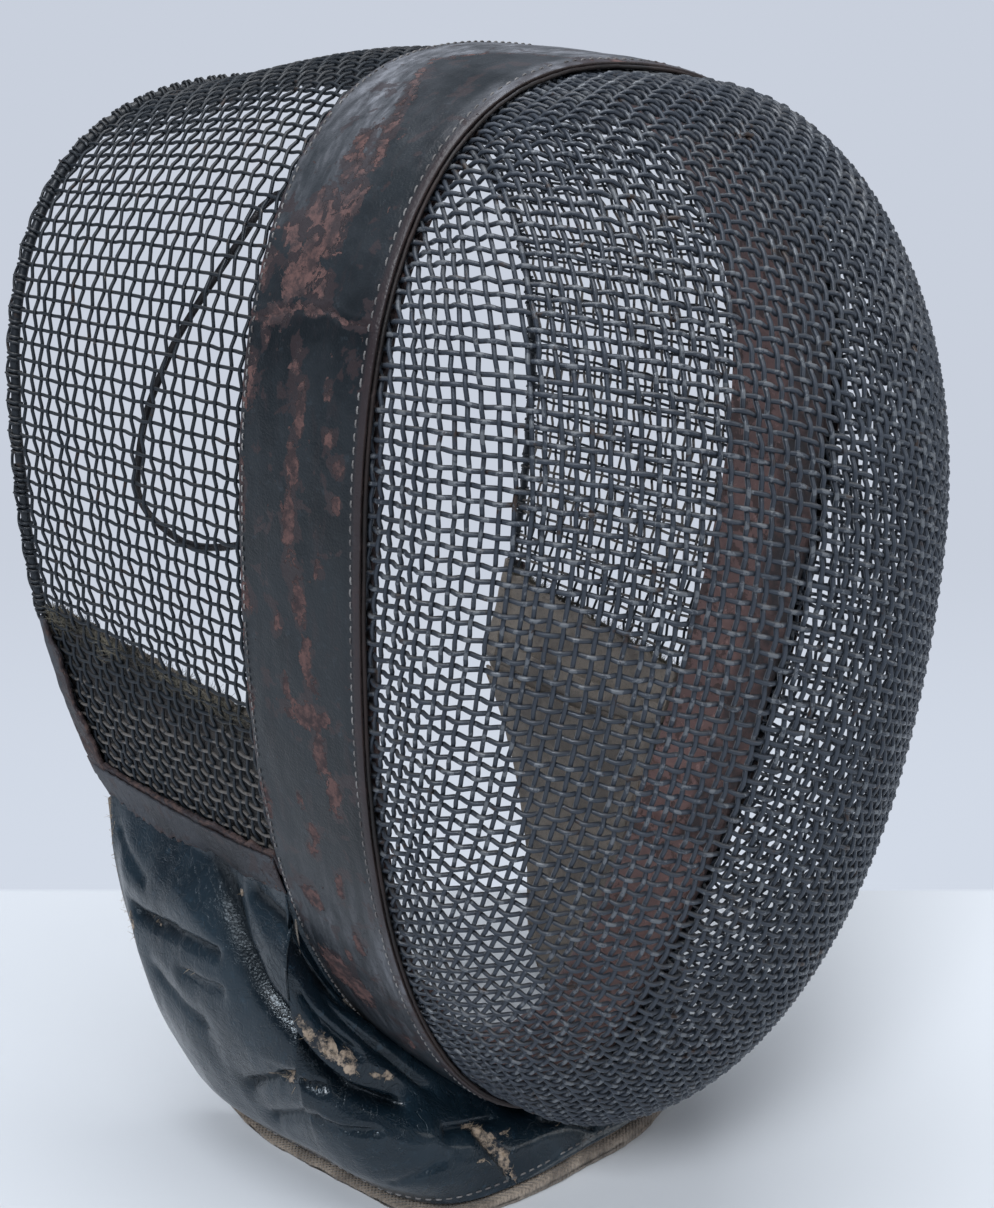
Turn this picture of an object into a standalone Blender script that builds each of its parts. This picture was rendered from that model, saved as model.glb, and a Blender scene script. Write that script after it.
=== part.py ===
"""An old fencing mask standing on its leather bib: a domed wire guard, a wire hood and a broad band.

Metres, +Z up. The wearer faces -Y, the hood is open at +Y, and the bib stands on z = 0. The mask's
shape comes from three egg-shaped loops across it: the band's front edge, the band's rear edge and the
hood's rear edge. A point on the skin between them is named by an angle round the loop, which is 0 at
the top of the head and pi at the chin, and by a reach from front to back: 0 at the band's front edge,
1 at its rear edge and 2 at the hood's rear edge. Depth is measured inwards from the skin.
"""
import math
from typing import Callable, NamedTuple, Sequence

import bmesh
import bpy
from mathutils import Vector

MM = 0.001
GAP = 0.3 * MM

# Where the front loop's middle stands, above the floor and behind the model's own centre
MASK_HEIGHT = 220.0 * MM
MASK_SETBACK = -33.2 * MM

# Walls, from the skin inwards
LEATHER = 1.8 * MM
FRONT_WEAVE = 2.0 * MM
SIDE_WEAVE = 1.5 * MM
FRONT_SEAM_DEPTH = LEATHER + 2 * GAP
SIDE_SEAM_DEPTH = LEATHER + 2 * GAP
LINING_DEPTH = 4.8 * MM
LINING = 1.8 * MM
FELT = 2.0 * MM
CANVAS = 1.2 * MM
CANVAS_GAP = 1.1 * MM

# The dome of the guard, seen as a squared circle from any side
DOME_REACH = -80.8 * MM
DOME_EYE_HEIGHT = -22.5 * MM
DOME_SQUARE_SIDE = 1.662
DOME_SQUARE_TOP = 1.803
DOME_SQUARE_CHIN = 1.855
SEAM_RISE_START = math.radians(4.0)
SEAM_RISE_END = math.radians(17.0)
DOME_CLIMBS = (0.5, 4.0, 10.0, 17.0, 26.0, 36.0, 47.0, 58.0, 69.0, 80.0)     # degrees

# The band over the joint of the two meshes
BAND_WIDTH_SIDE = 41.0 * MM
BAND_WIDTH_TOP = 48.4 * MM
BAND_WIDTH_CHIN = 33.6 * MM
BAND_CROWN = 0.7 * MM
BAND_FLARE = 1.0484
BAND_FLARE_TOP = 1.0597
BAND_FLARE_CHIN = 0.9881

# The hood's lower edge, as the angle where it meets the band and the rear corner
HOOD_END_AT_BAND = math.radians(123.0)
HOOD_END_AT_REAR = math.radians(125.2)
HOOD_END_SAG = math.radians(0.8)
HOOD_CROWN = 3.5 * MM
FRONT_LAP_END = 0.47
HOOD_LAP_START = 0.49

# The wire edge round the rear opening, and the leather channels below it
RIM_RADIUS = 2.4 * MM
RIM_INSET = 1.5 * MM
RIM_END = math.radians(105.0)
CHANNEL_WALL = 1.2 * MM
CHANNEL_THICKNESS = 7.4 * MM
BINDING_ARM = 9.0 * MM
BINDING_HEAD = math.radians(0.25)       # how far the binding stays below the wire's end
BINDING_FOOT = math.radians(5.1)        # and above the hood's lower corner
TRIM_ARM = 11.0 * MM

# Where the pieces in the joint begin and end, as reaches
BAND_START = 0.056
LINING_REACHES = (0.03, 0.5, 0.98)
FELT_START = 1.01
TRIM_START = 1.012
PIPING_RADIUS = 1.0 * MM

# The padding inside the chin
CHIN_PAD_SPAN = math.radians(46.0)
CHIN_PAD_FRONT = 0.06
CHIN_PAD_BACK = 0.92
CHIN_PAD_EDGE = 2.0 * MM
CHIN_PAD_SWELL = 7.0 * MM

# The bib
PAD_THICKNESS = 8.0 * MM
PAD_EDGE = 2.6 * MM
VALLEY_DEPTH = 3.0 * MM
VALLEY_WIDTH = 0.13
ROLL_WIDTH = 5.2 * MM
ROLL_TURN = math.radians(62.0)
ROLL_TURN_START = 0.82
LAYER_STEP = 0.35       # how much higher each layer of the bib ends, for its depth
SLOPE_SPAN = 0.22       # how far along the bib its slope is taken
CORNER_ALONG = 0.47     # where the bib turns from chin to side, and the canvas hangs clear of the pad
CORNER_SPAN = 0.14
CORNER_EASE = 3.0 * MM
CANVAS_TOP = 0.10        # the canvas is turned in this far below the pad's top edge
EDGE_SPAN = 0.04

# The strap
STRAP_RADIUS = 1.0 * MM
STRAP_POINTS = 42

AROUND = 48
HOOD_COLUMNS = 45
BIB_STEPS = ((0.38, 6), (0.64, 9), (1.0, 5))    # the bib's sections, closest at its corners
BIB_ROWS = 7
TANGENT_STEP = 0.001
SHARP_ANGLE = math.radians(40.0)


class Ring(NamedTuple):
    """An egg-shaped loop across the mask: two half superellipses, bowed back or forward by height."""
    half_width: float
    top: float
    bottom: float
    square_top: float
    square_bottom: float
    setback: float
    lean: float
    bow_above: float
    bow_below: float
    chin_hook: float

    def point(self, angle: float) -> Vector:
        """The loop's point at an angle from the top of the head, measured towards +X."""
        upper = math.cos(angle) >= 0.0
        square = self.square_top if upper else self.square_bottom
        height = self.top if upper else -self.bottom
        x = math.copysign(self.half_width * abs(math.sin(angle)) ** (2 / square), math.sin(angle))
        z = height * abs(math.cos(angle)) ** (2 / square)
        bow = self.bow_above if upper else self.bow_below
        hook = 0.0 if upper else self.chin_hook
        return Vector((x, self.setback + self.lean * z + bow * z ** 2 + hook * z ** 3, z))


FRONT_RING = Ring(half_width=94.1 * MM, top=106.2 * MM, bottom=197.6 * MM, square_top=2.364,
                  square_bottom=2.004, setback=0.0, lean=-0.0657, bow_above=1.0135, bow_below=0.777,
                  chin_hook=3.255)
REAR_RING = Ring(half_width=105.05 * MM, top=106.9 * MM, bottom=180.2 * MM, square_top=2.675,
                 square_bottom=1.975, setback=143.95 * MM, lean=-0.0317, bow_above=0.499,
                 bow_below=-0.0698, chin_hook=0.0)


class BibFold(NamedTuple):
    """One line down the bib, from its sewn top edge to the floor."""
    along: float        # -1 at the near rear edge, 0 at the chin, 1 at the far rear edge
    floor_x: float      # where the line meets the floor, in millimetres
    floor_y: float
    belly: float        # how far the line swells outwards, in millimetres
    lift: float         # how far its end stays off the floor, in millimetres
    roll: float         # height of the rolled canvas edge under it, in millimetres
    valley: float       # place of the quilting line, 0 at the top edge and 1 at the floor


BIB_FOLDS = (
    BibFold(-1.00, -70.5, 117.0, 8.5, 17.0, 2.0, -0.40),
    BibFold(-0.90, -66.5, 105.0, 12.0, 3.5, 2.0, -0.30),
    BibFold(-0.80, -65.0, 90.0, 13.0, 0.0, 2.0, -0.15),
    BibFold(-0.68, -62.5, 73.0, 12.0, 0.0, 2.2, 0.00),
    BibFold(-0.56, -59.5, 55.0, 11.0, 0.0, 2.4, 0.20),
    BibFold(-0.44, -56.0, 37.0, 9.0, 0.0, 2.8, 0.34),
    BibFold(-0.32, -46.0, 23.0, 7.0, 0.0, 3.4, 0.42),
    BibFold(-0.16, -25.0, 15.5, 5.0, 0.0, 4.2, 0.48),
    BibFold(0.00, -2.0, 12.5, 4.5, 0.0, 5.2, 0.50),
    BibFold(0.16, 20.0, 11.0, 5.0, 0.0, 5.8, 0.48),
    BibFold(0.32, 41.0, 16.5, 7.0, 0.0, 5.2, 0.42),
    BibFold(0.44, 54.0, 31.0, 9.0, 0.0, 4.0, 0.34),
    BibFold(0.56, 58.5, 49.0, 11.0, 0.0, 3.0, 0.20),
    BibFold(0.68, 61.0, 66.0, 12.0, 0.0, 2.4, 0.00),
    BibFold(0.80, 63.0, 77.0, 12.0, 0.0, 2.2, -0.15),
    BibFold(0.90, 65.5, 92.0, 11.0, 3.5, 2.0, -0.30),
    BibFold(1.00, 70.0, 104.0, 8.0, 17.0, 2.0, -0.40),
)
BIB_BAND_SHARE = 0.56   # the share of the bib's top edge that is sewn to the band
BIB_PROUD = 0.6 * MM    # how far its sewn edge stands out from the band's face
BIB_CORNER = HOOD_END_AT_BAND + math.radians(1.4)
BIB_END = 1.955
BIB_TOP_DEPTH = 1.2 * MM


class LiningPatch(NamedTuple):
    """A felt patch inside one side of the hood, by the angles of its upper edge."""
    name: str
    side: int
    top_at_band: float
    top_at_rear: float


LINING_PATCHES = (
    LiningPatch("cheek_lining_left", -1, math.radians(107.0), math.radians(104.4)),
    LiningPatch("cheek_lining_right", 1, math.radians(116.5), math.radians(113.5)),
)

# The strap's route, as angle in degrees, reach and depth in millimetres, from its upper to its lower end
STRAP_ROUTE = (
    (-43.5, 0.62, 7.95), (-45.0, 0.86, 8.6), (-49.0, 1.14, 9.0), (-56.5, 1.20, 9.0), (-63.0, 1.26, 9.0),
    (-68.5, 1.32, 9.0), (-73.5, 1.38, 9.0), (-78.5, 1.43, 9.0), (-83.0, 1.48, 9.0), (-86.8, 1.51, 9.0),
    (-90.3, 1.535, 9.0), (-92.0, 1.51, 9.0), (-93.2, 1.45, 9.0), (-94.2, 1.33, 9.0), (-93.6, 1.18, 9.0),
    (-91.8, 0.98, 8.8), (-90.2, 0.62, 7.95),
)


class Finish(NamedTuple):
    """The look of one material: its colour, roughness and metallic value."""
    colour: tuple[float, float, float]
    roughness: float
    metallic: float


FINISHES = {
    "painted_wire": Finish((0.045, 0.052, 0.060), 0.45, 0.6),
    "band_leather": Finish((0.013, 0.017, 0.022), 0.50, 0.0),
    "piping_leather": Finish((0.100, 0.040, 0.030), 0.60, 0.0),
    "lining_leather": Finish((0.060, 0.035, 0.025), 0.70, 0.0),
    "trim_leather": Finish((0.050, 0.042, 0.045), 0.70, 0.0),
    "felt": Finish((0.080, 0.070, 0.045), 0.90, 0.0),
    "pad_leather": Finish((0.012, 0.018, 0.025), 0.30, 0.0),
    "canvas": Finish((0.420, 0.330, 0.240), 0.90, 0.0),
}


def lerp(start, end, share: float):
    """The value a share of the way from start to end."""
    return start + (end - start) * share


def smooth(low: float, high: float, value: float) -> float:
    """A soft step from 0 at low to 1 at high."""
    share = min(max((value - low) / (high - low), 0.0), 1.0)
    return share * share * (3.0 - 2.0 * share)


def spread(start: float, end: float, count: int) -> list[float]:
    """Evenly spaced values, both ends included."""
    return [lerp(start, end, index / (count - 1)) for index in range(count)]


def arch(share: float) -> float:
    """A low arch: 0 at both ends and 1 in the middle."""
    return 4.0 * share * (1.0 - share)


def catmull(before: float, start: float, end: float, after: float, share: float) -> float:
    """A value on the smooth curve through four evenly spaced ones, between the middle two."""
    slope_in = (end - before) / 2.0
    slope_out = (after - start) / 2.0
    square = share * share
    cube = square * share
    return ((2 * cube - 3 * square + 1) * start + (cube - 2 * square + share) * slope_in
            + (3 * square - 2 * cube) * end + (cube - square) * slope_out)


def placed(point: Vector) -> Vector:
    """A point of the mask, measured from the front loop's middle, in the model's own place."""
    return point + Vector((0.0, MASK_SETBACK, MASK_HEIGHT))


def band_rear(angle: float) -> Vector:
    """The band's rear edge, which is wider at the top of the head than under the chin."""
    front = FRONT_RING.point(angle)
    height = math.cos(angle)
    end_width = BAND_WIDTH_TOP if height > 0.0 else BAND_WIDTH_CHIN
    width = BAND_WIDTH_SIDE + (end_width - BAND_WIDTH_SIDE) * abs(height) ** 3
    stretch = BAND_FLARE_TOP if height > 0.0 else BAND_FLARE_CHIN
    return Vector((front.x * BAND_FLARE, front.y + width, front.z * stretch))


def skin(angle: float, reach: float) -> Vector:
    """The mask's outer surface over the band, for a reach up to 1, and over the hood behind it."""
    if reach > 1.0:
        back = reach - 1.0
        rise = arch(back) * (1.0 - back) * 1.7
        crown = HOOD_CROWN * max(math.cos(angle), 0.0) ** 2 * rise
        return lerp(band_rear(angle), REAR_RING.point(angle), back) + Vector((0.0, 0.0, crown))
    return lerp(FRONT_RING.point(angle), band_rear(angle), reach)


def skin_inward(angle: float, reach: float) -> Vector:
    """The unit direction from the skin into the mask."""
    around = skin(angle + TANGENT_STEP, reach) - skin(angle - TANGENT_STEP, reach)
    back = skin(angle, reach + TANGENT_STEP) - skin(angle, reach - TANGENT_STEP)
    return back.cross(around).normalized()


def under_skin(angle: float, reach: float, depth: float) -> Vector:
    """The point at a depth below the skin."""
    return placed(skin(angle, reach) + skin_inward(angle, reach) * depth)


def band_face(angle: float, reach: float) -> Vector:
    """The band's own outer face, which is a little crowned between its edges."""
    return under_skin(angle, reach, -BAND_CROWN * arch(reach))


def dome(angle: float, climb: float) -> Vector:
    """The guard's outer face: climb is 0 at the band and a right angle at the middle of the face."""
    edge = FRONT_RING.point(angle)
    end_square = DOME_SQUARE_TOP if math.cos(angle) > 0.0 else DOME_SQUARE_CHIN
    square = DOME_SQUARE_SIDE * math.sin(angle) ** 2 + end_square * math.cos(angle) ** 2
    spread_out = abs(math.cos(climb)) ** (2 / square)
    forward = math.sin(climb) ** (2 / square)
    centre = Vector((0.0, DOME_REACH, DOME_EYE_HEIGHT))
    point = Vector((edge.x * spread_out, lerp(edge.y, centre.y, forward),
                    lerp(centre.z, edge.z, spread_out)))
    seam_share = 1.0 - smooth(SEAM_RISE_START, SEAM_RISE_END, climb)
    return placed(point + skin_inward(angle, 0.0) * FRONT_SEAM_DEPTH * seam_share)


def hood_end(reach: float) -> float:
    """The angle of the hood's lower edge at a reach behind the band."""
    back = max(reach - 1.0, 0.0)
    return lerp(HOOD_END_AT_BAND, HOOD_END_AT_REAR, back) + HOOD_END_SAG * arch(back)


def hood_edge_run(side: int, reach: float) -> Vector:
    """The way the hood's lower edge runs, towards the rear."""
    start, end = (skin(side * hood_end(place), place) for place in (reach, reach + 0.05))
    return end - start


def hood_depth(reach: float) -> float:
    """The depth of the hood mesh's outer face, which rises to the middle of the rear edge's wire."""
    return lerp(SIDE_SEAM_DEPTH, RIM_INSET - SIDE_WEAVE / 2, max(reach - 1.0, 0.0))


def rear_reach(set_forward: float) -> float:
    """The reach of a line that lies a distance in front of the hood's rear edge."""
    side_length = REAR_RING.setback - BAND_WIDTH_SIDE
    return 2.0 - set_forward / side_length


def make_material(name: str) -> bpy.types.Material:
    """A material with the colour, roughness and metallic value of one finish."""
    finish = FINISHES[name]
    material = bpy.data.materials.new(name)
    material.use_nodes = True
    shader = material.node_tree.nodes["Principled BSDF"]
    shader.inputs["Base Color"].default_value = (*finish.colour, 1.0)
    shader.inputs["Roughness"].default_value = finish.roughness
    shader.inputs["Metallic"].default_value = finish.metallic
    return material


def add_object(name: str, shape: bmesh.types.BMesh, material: str) -> bpy.types.Object:
    """Makes the finished shape an object of its own, shaded smooth."""
    mesh = bpy.data.meshes.new(name)
    shape.to_mesh(mesh)
    shape.free()
    mesh.shade_smooth()
    mesh.set_sharp_from_angle(angle=SHARP_ANGLE)
    mesh.materials.append(MATERIALS[material])
    made = bpy.data.objects.new(name, mesh)
    bpy.context.collection.objects.link(made)
    return made


def extrude_row(shape: bmesh.types.BMesh, row: list, places: Sequence[Vector], closed: bool) -> list:
    """Extrudes a row of joined vertices once and moves the copies to their places.

    Args:
        shape: the mesh that is being made.
        row: the row's vertices in order.
        places: where their copies go.
        closed: whether the row's last vertex joins its first.

    Returns:
        The new row, in the same order.
    """
    pairs = list(zip(row, row[1:]))
    if closed:
        pairs.append((row[-1], row[0]))
    edges = [shape.edges.get(pair) for pair in pairs]
    made = bmesh.ops.extrude_edge_only(shape, edges=edges)["geom"]
    copies = {item for item in made if isinstance(item, bmesh.types.BMVert)}
    new_row = []
    for vertex, place in zip(row, places):
        copy = next(edge.other_vert(vertex) for edge in vertex.link_edges
                    if edge.other_vert(vertex) in copies)
        copy.co = place
        new_row.append(copy)
    return new_row


def first_row(shape: bmesh.types.BMesh, places: Sequence[Vector], closed: bool) -> list:
    """Makes the row that the others are extruded from."""
    row = [shape.verts.new(place) for place in places]
    for start, end in zip(row, row[1:]):
        shape.edges.new((start, end))
    if closed:
        shape.edges.new((row[-1], row[0]))
    return row


def row_edges(shape: bmesh.types.BMesh, row: list) -> list:
    """The edges of a closed row."""
    return [shape.edges.get(pair) for pair in zip(row, row[1:] + row[:1])]


def loft(name: str, sections: Sequence[Sequence[Vector]], material: str, ring: bool) -> bpy.types.Object:
    """A solid through closed outlines: open with a cap at each end, or a ring whose ends meet."""
    shape = bmesh.new()
    start = first_row(shape, sections[0], closed=True)
    row = start
    for section in sections[1:]:
        row = extrude_row(shape, row, section, closed=True)
    if ring:
        bmesh.ops.bridge_loops(shape, edges=row_edges(shape, row) + row_edges(shape, start))
    else:
        bmesh.ops.edgeloop_fill(shape, edges=row_edges(shape, start))
        bmesh.ops.edgeloop_fill(shape, edges=row_edges(shape, row))
    bmesh.ops.triangulate(shape, faces=shape.faces, quad_method="FIXED")
    bmesh.ops.recalc_face_normals(shape, faces=shape.faces)
    return add_object(name, shape, material)


def wall(name: str, rows: Sequence[Sequence[Vector]], thickness: float, material: str,
         around: bool, pole: Vector | None = None) -> bpy.types.Object:
    """A wall of even thickness, laid inwards from rows of points on its outer face.

    Args:
        name: the object's name.
        rows: the rows, each with the same number of points.
        thickness: the wall's thickness.
        material: the finish's name.
        around: whether each row goes right round the mask.
        pole: the point that closes the last row, if it has one.

    Returns:
        The object, with its thickness as a modifier.
    """
    shape = bmesh.new()
    row = first_row(shape, rows[0], closed=around)
    for places in rows[1:]:
        row = extrude_row(shape, row, places, closed=around)
    if pole is not None:
        cap = bmesh.ops.edgeloop_fill(shape, edges=row_edges(shape, row))["faces"]
        centre = bmesh.ops.poke(shape, faces=cap)["verts"][0]
        centre.co = pole
    bmesh.ops.recalc_face_normals(shape, faces=shape.faces)
    shape.faces.ensure_lookup_table()
    middle = placed(Vector((0.0, BAND_WIDTH_SIDE, 0.0)))
    probe = max(shape.faces, key=lambda face: (face.calc_center_median() - middle).x ** 2)
    if probe.normal.x * (probe.calc_center_median() - middle).x < 0.0:
        bmesh.ops.reverse_faces(shape, faces=shape.faces)
    made = add_object(name, shape, material)
    solidify = made.modifiers.new("wall", "SOLIDIFY")
    solidify.thickness = thickness
    solidify.offset = -1.0
    return made


def rows_over_skin(face: Callable[[float, float], Vector], reaches: Sequence[float],
                   angles: Sequence[float]) -> list[list[Vector]]:
    """Rows that go round the mask on a face, one row for each reach."""
    return [[face(angle, reach) for angle in angles] for reach in reaches]


def ring_angles(count: int) -> list[float]:
    """Angles once round the mask, from the top and back to just before it."""
    return [2.0 * math.pi * index / count for index in range(count)]


def make_front_mesh() -> None:
    """The guard: its edge lies under the band, and its face is one dome."""
    angles = ring_angles(AROUND)
    lap = rows_over_skin(lambda angle, reach: under_skin(angle, reach, FRONT_SEAM_DEPTH),
                         (FRONT_LAP_END,), angles)
    face = rows_over_skin(dome, [math.radians(climb) for climb in DOME_CLIMBS], angles)
    wall("front_mesh", lap + face, FRONT_WEAVE, "painted_wire", around=True,
         pole=dome(0.0, math.pi / 2))


def make_side_mesh() -> None:
    """The hood: from under the band back to the rear edge's wire."""
    reaches = (HOOD_LAP_START, 1.0, 1.33, 1.67, rear_reach(RIM_INSET + RIM_RADIUS + GAP))
    rows = []
    for reach in reaches:
        end = hood_end(reach)
        rows.append([under_skin(angle, reach, hood_depth(reach))
                     for angle in spread(-end, end, HOOD_COLUMNS)])
    wall("side_mesh", rows, SIDE_WEAVE, "painted_wire", around=False)


def make_band() -> None:
    """The broad leather band, its thin piping and the strip inside the joint."""
    angles = ring_angles(AROUND)
    wall("leather_band", rows_over_skin(band_face, (BAND_START, 0.5, 1.0), angles), LEATHER,
         "band_leather", around=True)
    wall("band_lining",
         rows_over_skin(lambda angle, reach: under_skin(angle, reach, LINING_DEPTH), LINING_REACHES,
                        angles),
         LINING, "lining_leather", around=True)
    reach = PIPING_RADIUS / BAND_WIDTH_SIDE
    sections = []
    for angle in angles:
        centre = under_skin(angle, reach, PIPING_RADIUS)
        inward = skin_inward(angle, 0.0)
        forward = (skin(angle, 0.0) - skin(angle, 0.1)).normalized()
        sections.append([centre + inward * math.cos(turn) * PIPING_RADIUS
                         + forward * math.sin(turn) * PIPING_RADIUS for turn in ring_angles(5)])
    loft("band_piping", sections, "piping_leather", ring=True)


def make_chin_pad() -> None:
    """The padded leather inside the chin, thickest in its middle."""
    outer = LINING_DEPTH + LINING + 2.5 * GAP
    middle = (CHIN_PAD_FRONT + CHIN_PAD_BACK) / 2
    sections = []
    for across in spread(-1.0, 1.0, 17):
        angle = math.pi + across * CHIN_PAD_SPAN
        taper = math.cos(across * 0.92 * math.pi / 2)
        section = [under_skin(angle, reach, outer) for reach in (CHIN_PAD_FRONT, middle, CHIN_PAD_BACK)]
        for share in (0.95, 0.75, 0.5, 0.25, 0.05):
            swell = math.sin(math.pi * share) ** 0.6
            depth = outer + CHIN_PAD_EDGE + CHIN_PAD_SWELL * taper * swell
            section.append(under_skin(angle, lerp(CHIN_PAD_FRONT, CHIN_PAD_BACK, share), depth))
        sections.append(section)
    loft("chin_pad", sections, "lining_leather", ring=False)


def make_rear_rim() -> None:
    """The wire edge round the rear opening, which ends a little below the cheeks' middle."""
    path = bpy.data.curves.new("rear_rim", "CURVE")
    path.dimensions = "3D"
    path.bevel_depth = RIM_RADIUS
    path.bevel_resolution = 2
    path.use_fill_caps = True
    angles = spread(-RIM_END, RIM_END, HOOD_COLUMNS)
    route = path.splines.new("POLY")
    route.points.add(len(angles) - 1)
    for point, angle in zip(route.points, angles):
        point.co = (*under_skin(angle, rear_reach(RIM_INSET), RIM_INSET), 1.0)
    path.materials.append(MATERIALS["painted_wire"])
    made = bpy.data.objects.new("rear_rim", path)
    bpy.context.collection.objects.link(made)


def channel(edge: Vector, into: Vector, inward: Vector, arm: float) -> list[Vector]:
    """A folded leather channel's outline: two arms that hold an edge, and the fold across it.

    Args:
        edge: the middle of the fold's outer face, at the skin.
        into: the direction from the fold along the arms.
        inward: the direction through the wall, into the mask.
        arm: the arms' length.

    Returns:
        The outline's eight corners in order.
    """
    inner_arm = arm * 0.8
    corners = (
        (0.0, 0.0), (0.0, arm), (CHANNEL_WALL, arm), (CHANNEL_WALL, CHANNEL_WALL),
        (CHANNEL_THICKNESS - CHANNEL_WALL, CHANNEL_WALL), (CHANNEL_THICKNESS - CHANNEL_WALL, inner_arm),
        (CHANNEL_THICKNESS, inner_arm), (CHANNEL_THICKNESS, 0.0),
    )
    return [edge + inward * across + into * up for across, up in corners]


def make_side_leather(side: int, label: str) -> None:
    """The leather folded over the hood's lower edge and over the lowest stretch of its rear edge."""
    fold_room = CHANNEL_WALL + GAP
    sections = []
    for reach in spread(TRIM_START, 2.0, 8):
        angle = side * hood_end(reach)
        inward = skin_inward(angle, reach)
        down = hood_edge_run(side, reach).cross(inward).normalized() * -side
        edge = under_skin(angle, reach, hood_depth(reach) - fold_room) + down * fold_room
        sections.append(channel(edge, -down, inward, TRIM_ARM))
    loft(f"lower_trim_{label}", sections, "trim_leather", ring=False)
    lowest = HOOD_END_AT_REAR - BINDING_FOOT
    sections = []
    for size in spread(RIM_END + BINDING_HEAD, lowest, 6):
        angle = side * size
        forward = (skin(angle, 1.9) - skin(angle, 2.0)).normalized()
        edge = under_skin(angle, 2.0, hood_depth(2.0) - fold_room)
        sections.append(channel(edge, forward, skin_inward(angle, 2.0), BINDING_ARM))
    loft(f"cheek_binding_{label}", sections, "trim_leather", ring=False)


def make_cheek_linings() -> None:
    """The felt patches inside the hood, between the two channels' arms."""
    foot = math.radians(0.35)
    reaches = (FELT_START, 1.33, 1.67, rear_reach(RIM_INSET + RIM_RADIUS + GAP))
    for patch in LINING_PATCHES:
        rows = []
        for reach in reaches:
            top = lerp(patch.top_at_band, patch.top_at_rear, reach - 1.0)
            depth = hood_depth(reach) + SIDE_WEAVE + 2 * GAP
            rows.append([under_skin(patch.side * angle, reach, depth)
                         for angle in spread(top, hood_end(reach) - foot, 5)])
        wall(patch.name, rows, FELT, "felt", around=False)


def fold_at(along: float) -> BibFold:
    """The bib's fold line anywhere along it, on smooth curves through the table's rows."""
    index = 0
    while index < len(BIB_FOLDS) - 2 and BIB_FOLDS[index + 1].along < along:
        index += 1
    rows = [BIB_FOLDS[min(max(index + shift, 0), len(BIB_FOLDS) - 1)] for shift in (-1, 0, 1, 2)]
    share = (along - rows[1].along) / (rows[2].along - rows[1].along)
    values = [catmull(*column, share) for column in zip(*rows)]
    return BibFold(along, *values[1:4], max(values[4], 0.0), *values[5:])


def bib_alongs() -> list[float]:
    """The places of the bib's sections, from its near to its far rear edge."""
    half = [0.0]
    for end, steps in BIB_STEPS:
        half += spread(half[-1], end, steps + 1)[1:]
    return [-along for along in reversed(half[1:])] + half


def bib_top(along: float) -> Vector:
    """The bib's sewn top edge: behind the band round the chin, then under the hood's lower edge."""
    side = -1 if along < 0.0 else 1
    size = abs(along)
    below_trim = CHANNEL_WALL + 2 * GAP
    if size <= BIB_BAND_SHARE:
        angle = side * lerp(math.pi, BIB_CORNER, size / BIB_BAND_SHARE)
        back = (skin(angle, 1.0) - skin(angle, 0.9)).normalized()
        return under_skin(angle, 1.0, -BIB_PROUD) + back * 4.0 * GAP
    reach = lerp(TRIM_START, BIB_END, (size - BIB_BAND_SHARE) / (1.0 - BIB_BAND_SHARE))
    angle = side * hood_end(reach)
    down = hood_edge_run(side, reach).cross(skin_inward(angle, reach)).normalized() * -side
    return under_skin(angle, reach, BIB_TOP_DEPTH) + down * below_trim


def bib_line(along: float) -> tuple[Vector, Vector]:
    """The two ends of a fold line on the bib's outer face."""
    fold = fold_at(along)
    foot = placed(Vector((fold.floor_x * MM, fold.floor_y * MM, -MASK_HEIGHT)))
    foot.z = (fold.roll + fold.lift) * MM + GAP + PAD_EDGE * 0.5
    return bib_top(along), foot


def bib_outward(along: float, down: float) -> Vector:
    """The unit direction out of the bib's outer face, taken from its fold lines' neighbours."""
    before = bib_line(max(along - SLOPE_SPAN, -1.0))
    after = bib_line(min(along + SLOPE_SPAN, 1.0))
    run = lerp(after[0], after[1], down) - lerp(before[0], before[1], down)
    top, foot = bib_line(along)
    return (foot - top).cross(run).normalized()


def bib_thickness(fold: BibFold, down: float) -> float:
    """The padding's thickness, thin at the sewn edges and pinched along the quilting line."""
    across = math.sin(math.pi * min(max(down, 0.0), 1.0)) ** 0.8
    rear = lerp(0.35, 1.0, smooth(1.0, 0.86, abs(fold.along)))
    return lerp(PAD_EDGE, PAD_THICKNESS, across * rear)


def bib_point(along: float, down: float, depth: float) -> Vector:
    """A point of the bib, at a depth below its swelling outer face, and kept above its rolled edge."""
    fold = fold_at(along)
    top, foot = bib_line(along)
    swell = fold.belly * MM * arch(down)
    dent = VALLEY_DEPTH * math.exp(-((down - fold.valley) / VALLEY_WIDTH) ** 2)
    dent *= smooth(0.0, 0.2, down) * smooth(1.0, 0.8, down)
    covered = min(depth / PAD_EDGE, 1.0)
    point = lerp(top, foot, down) + bib_outward(along, down) * (swell - dent * (1.0 - covered) - depth)
    thickness = bib_thickness(fold, down)
    corner = math.exp(-((abs(along) - CORNER_ALONG) / CORNER_SPAN) ** 2)
    point.y += CORNER_EASE * corner * smooth(thickness, thickness + CANVAS_GAP, depth)
    layers = thickness + CANVAS_GAP + CANVAS
    point.z = max(point.z, fold.roll * MM + GAP + LAYER_STEP * (layers - depth))
    return point


def bib_sections(top_share: float, outer: Callable[[BibFold, float], float],
                 inner: Callable[[BibFold, float], float]) -> list[list[Vector]]:
    """Outlines of one layer of the bib, between two depths, from its near to its far rear edge."""
    downs = [max(down, top_share) for down in spread(0.0, 1.0, BIB_ROWS)]
    sections = []
    for along in bib_alongs():
        fold = fold_at(along)
        out = [bib_point(along, down, outer(fold, down)) for down in downs]
        back = [bib_point(along, down, inner(fold, down)) for down in reversed(downs)]
        sections.append(out + back)
    return sections


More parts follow.
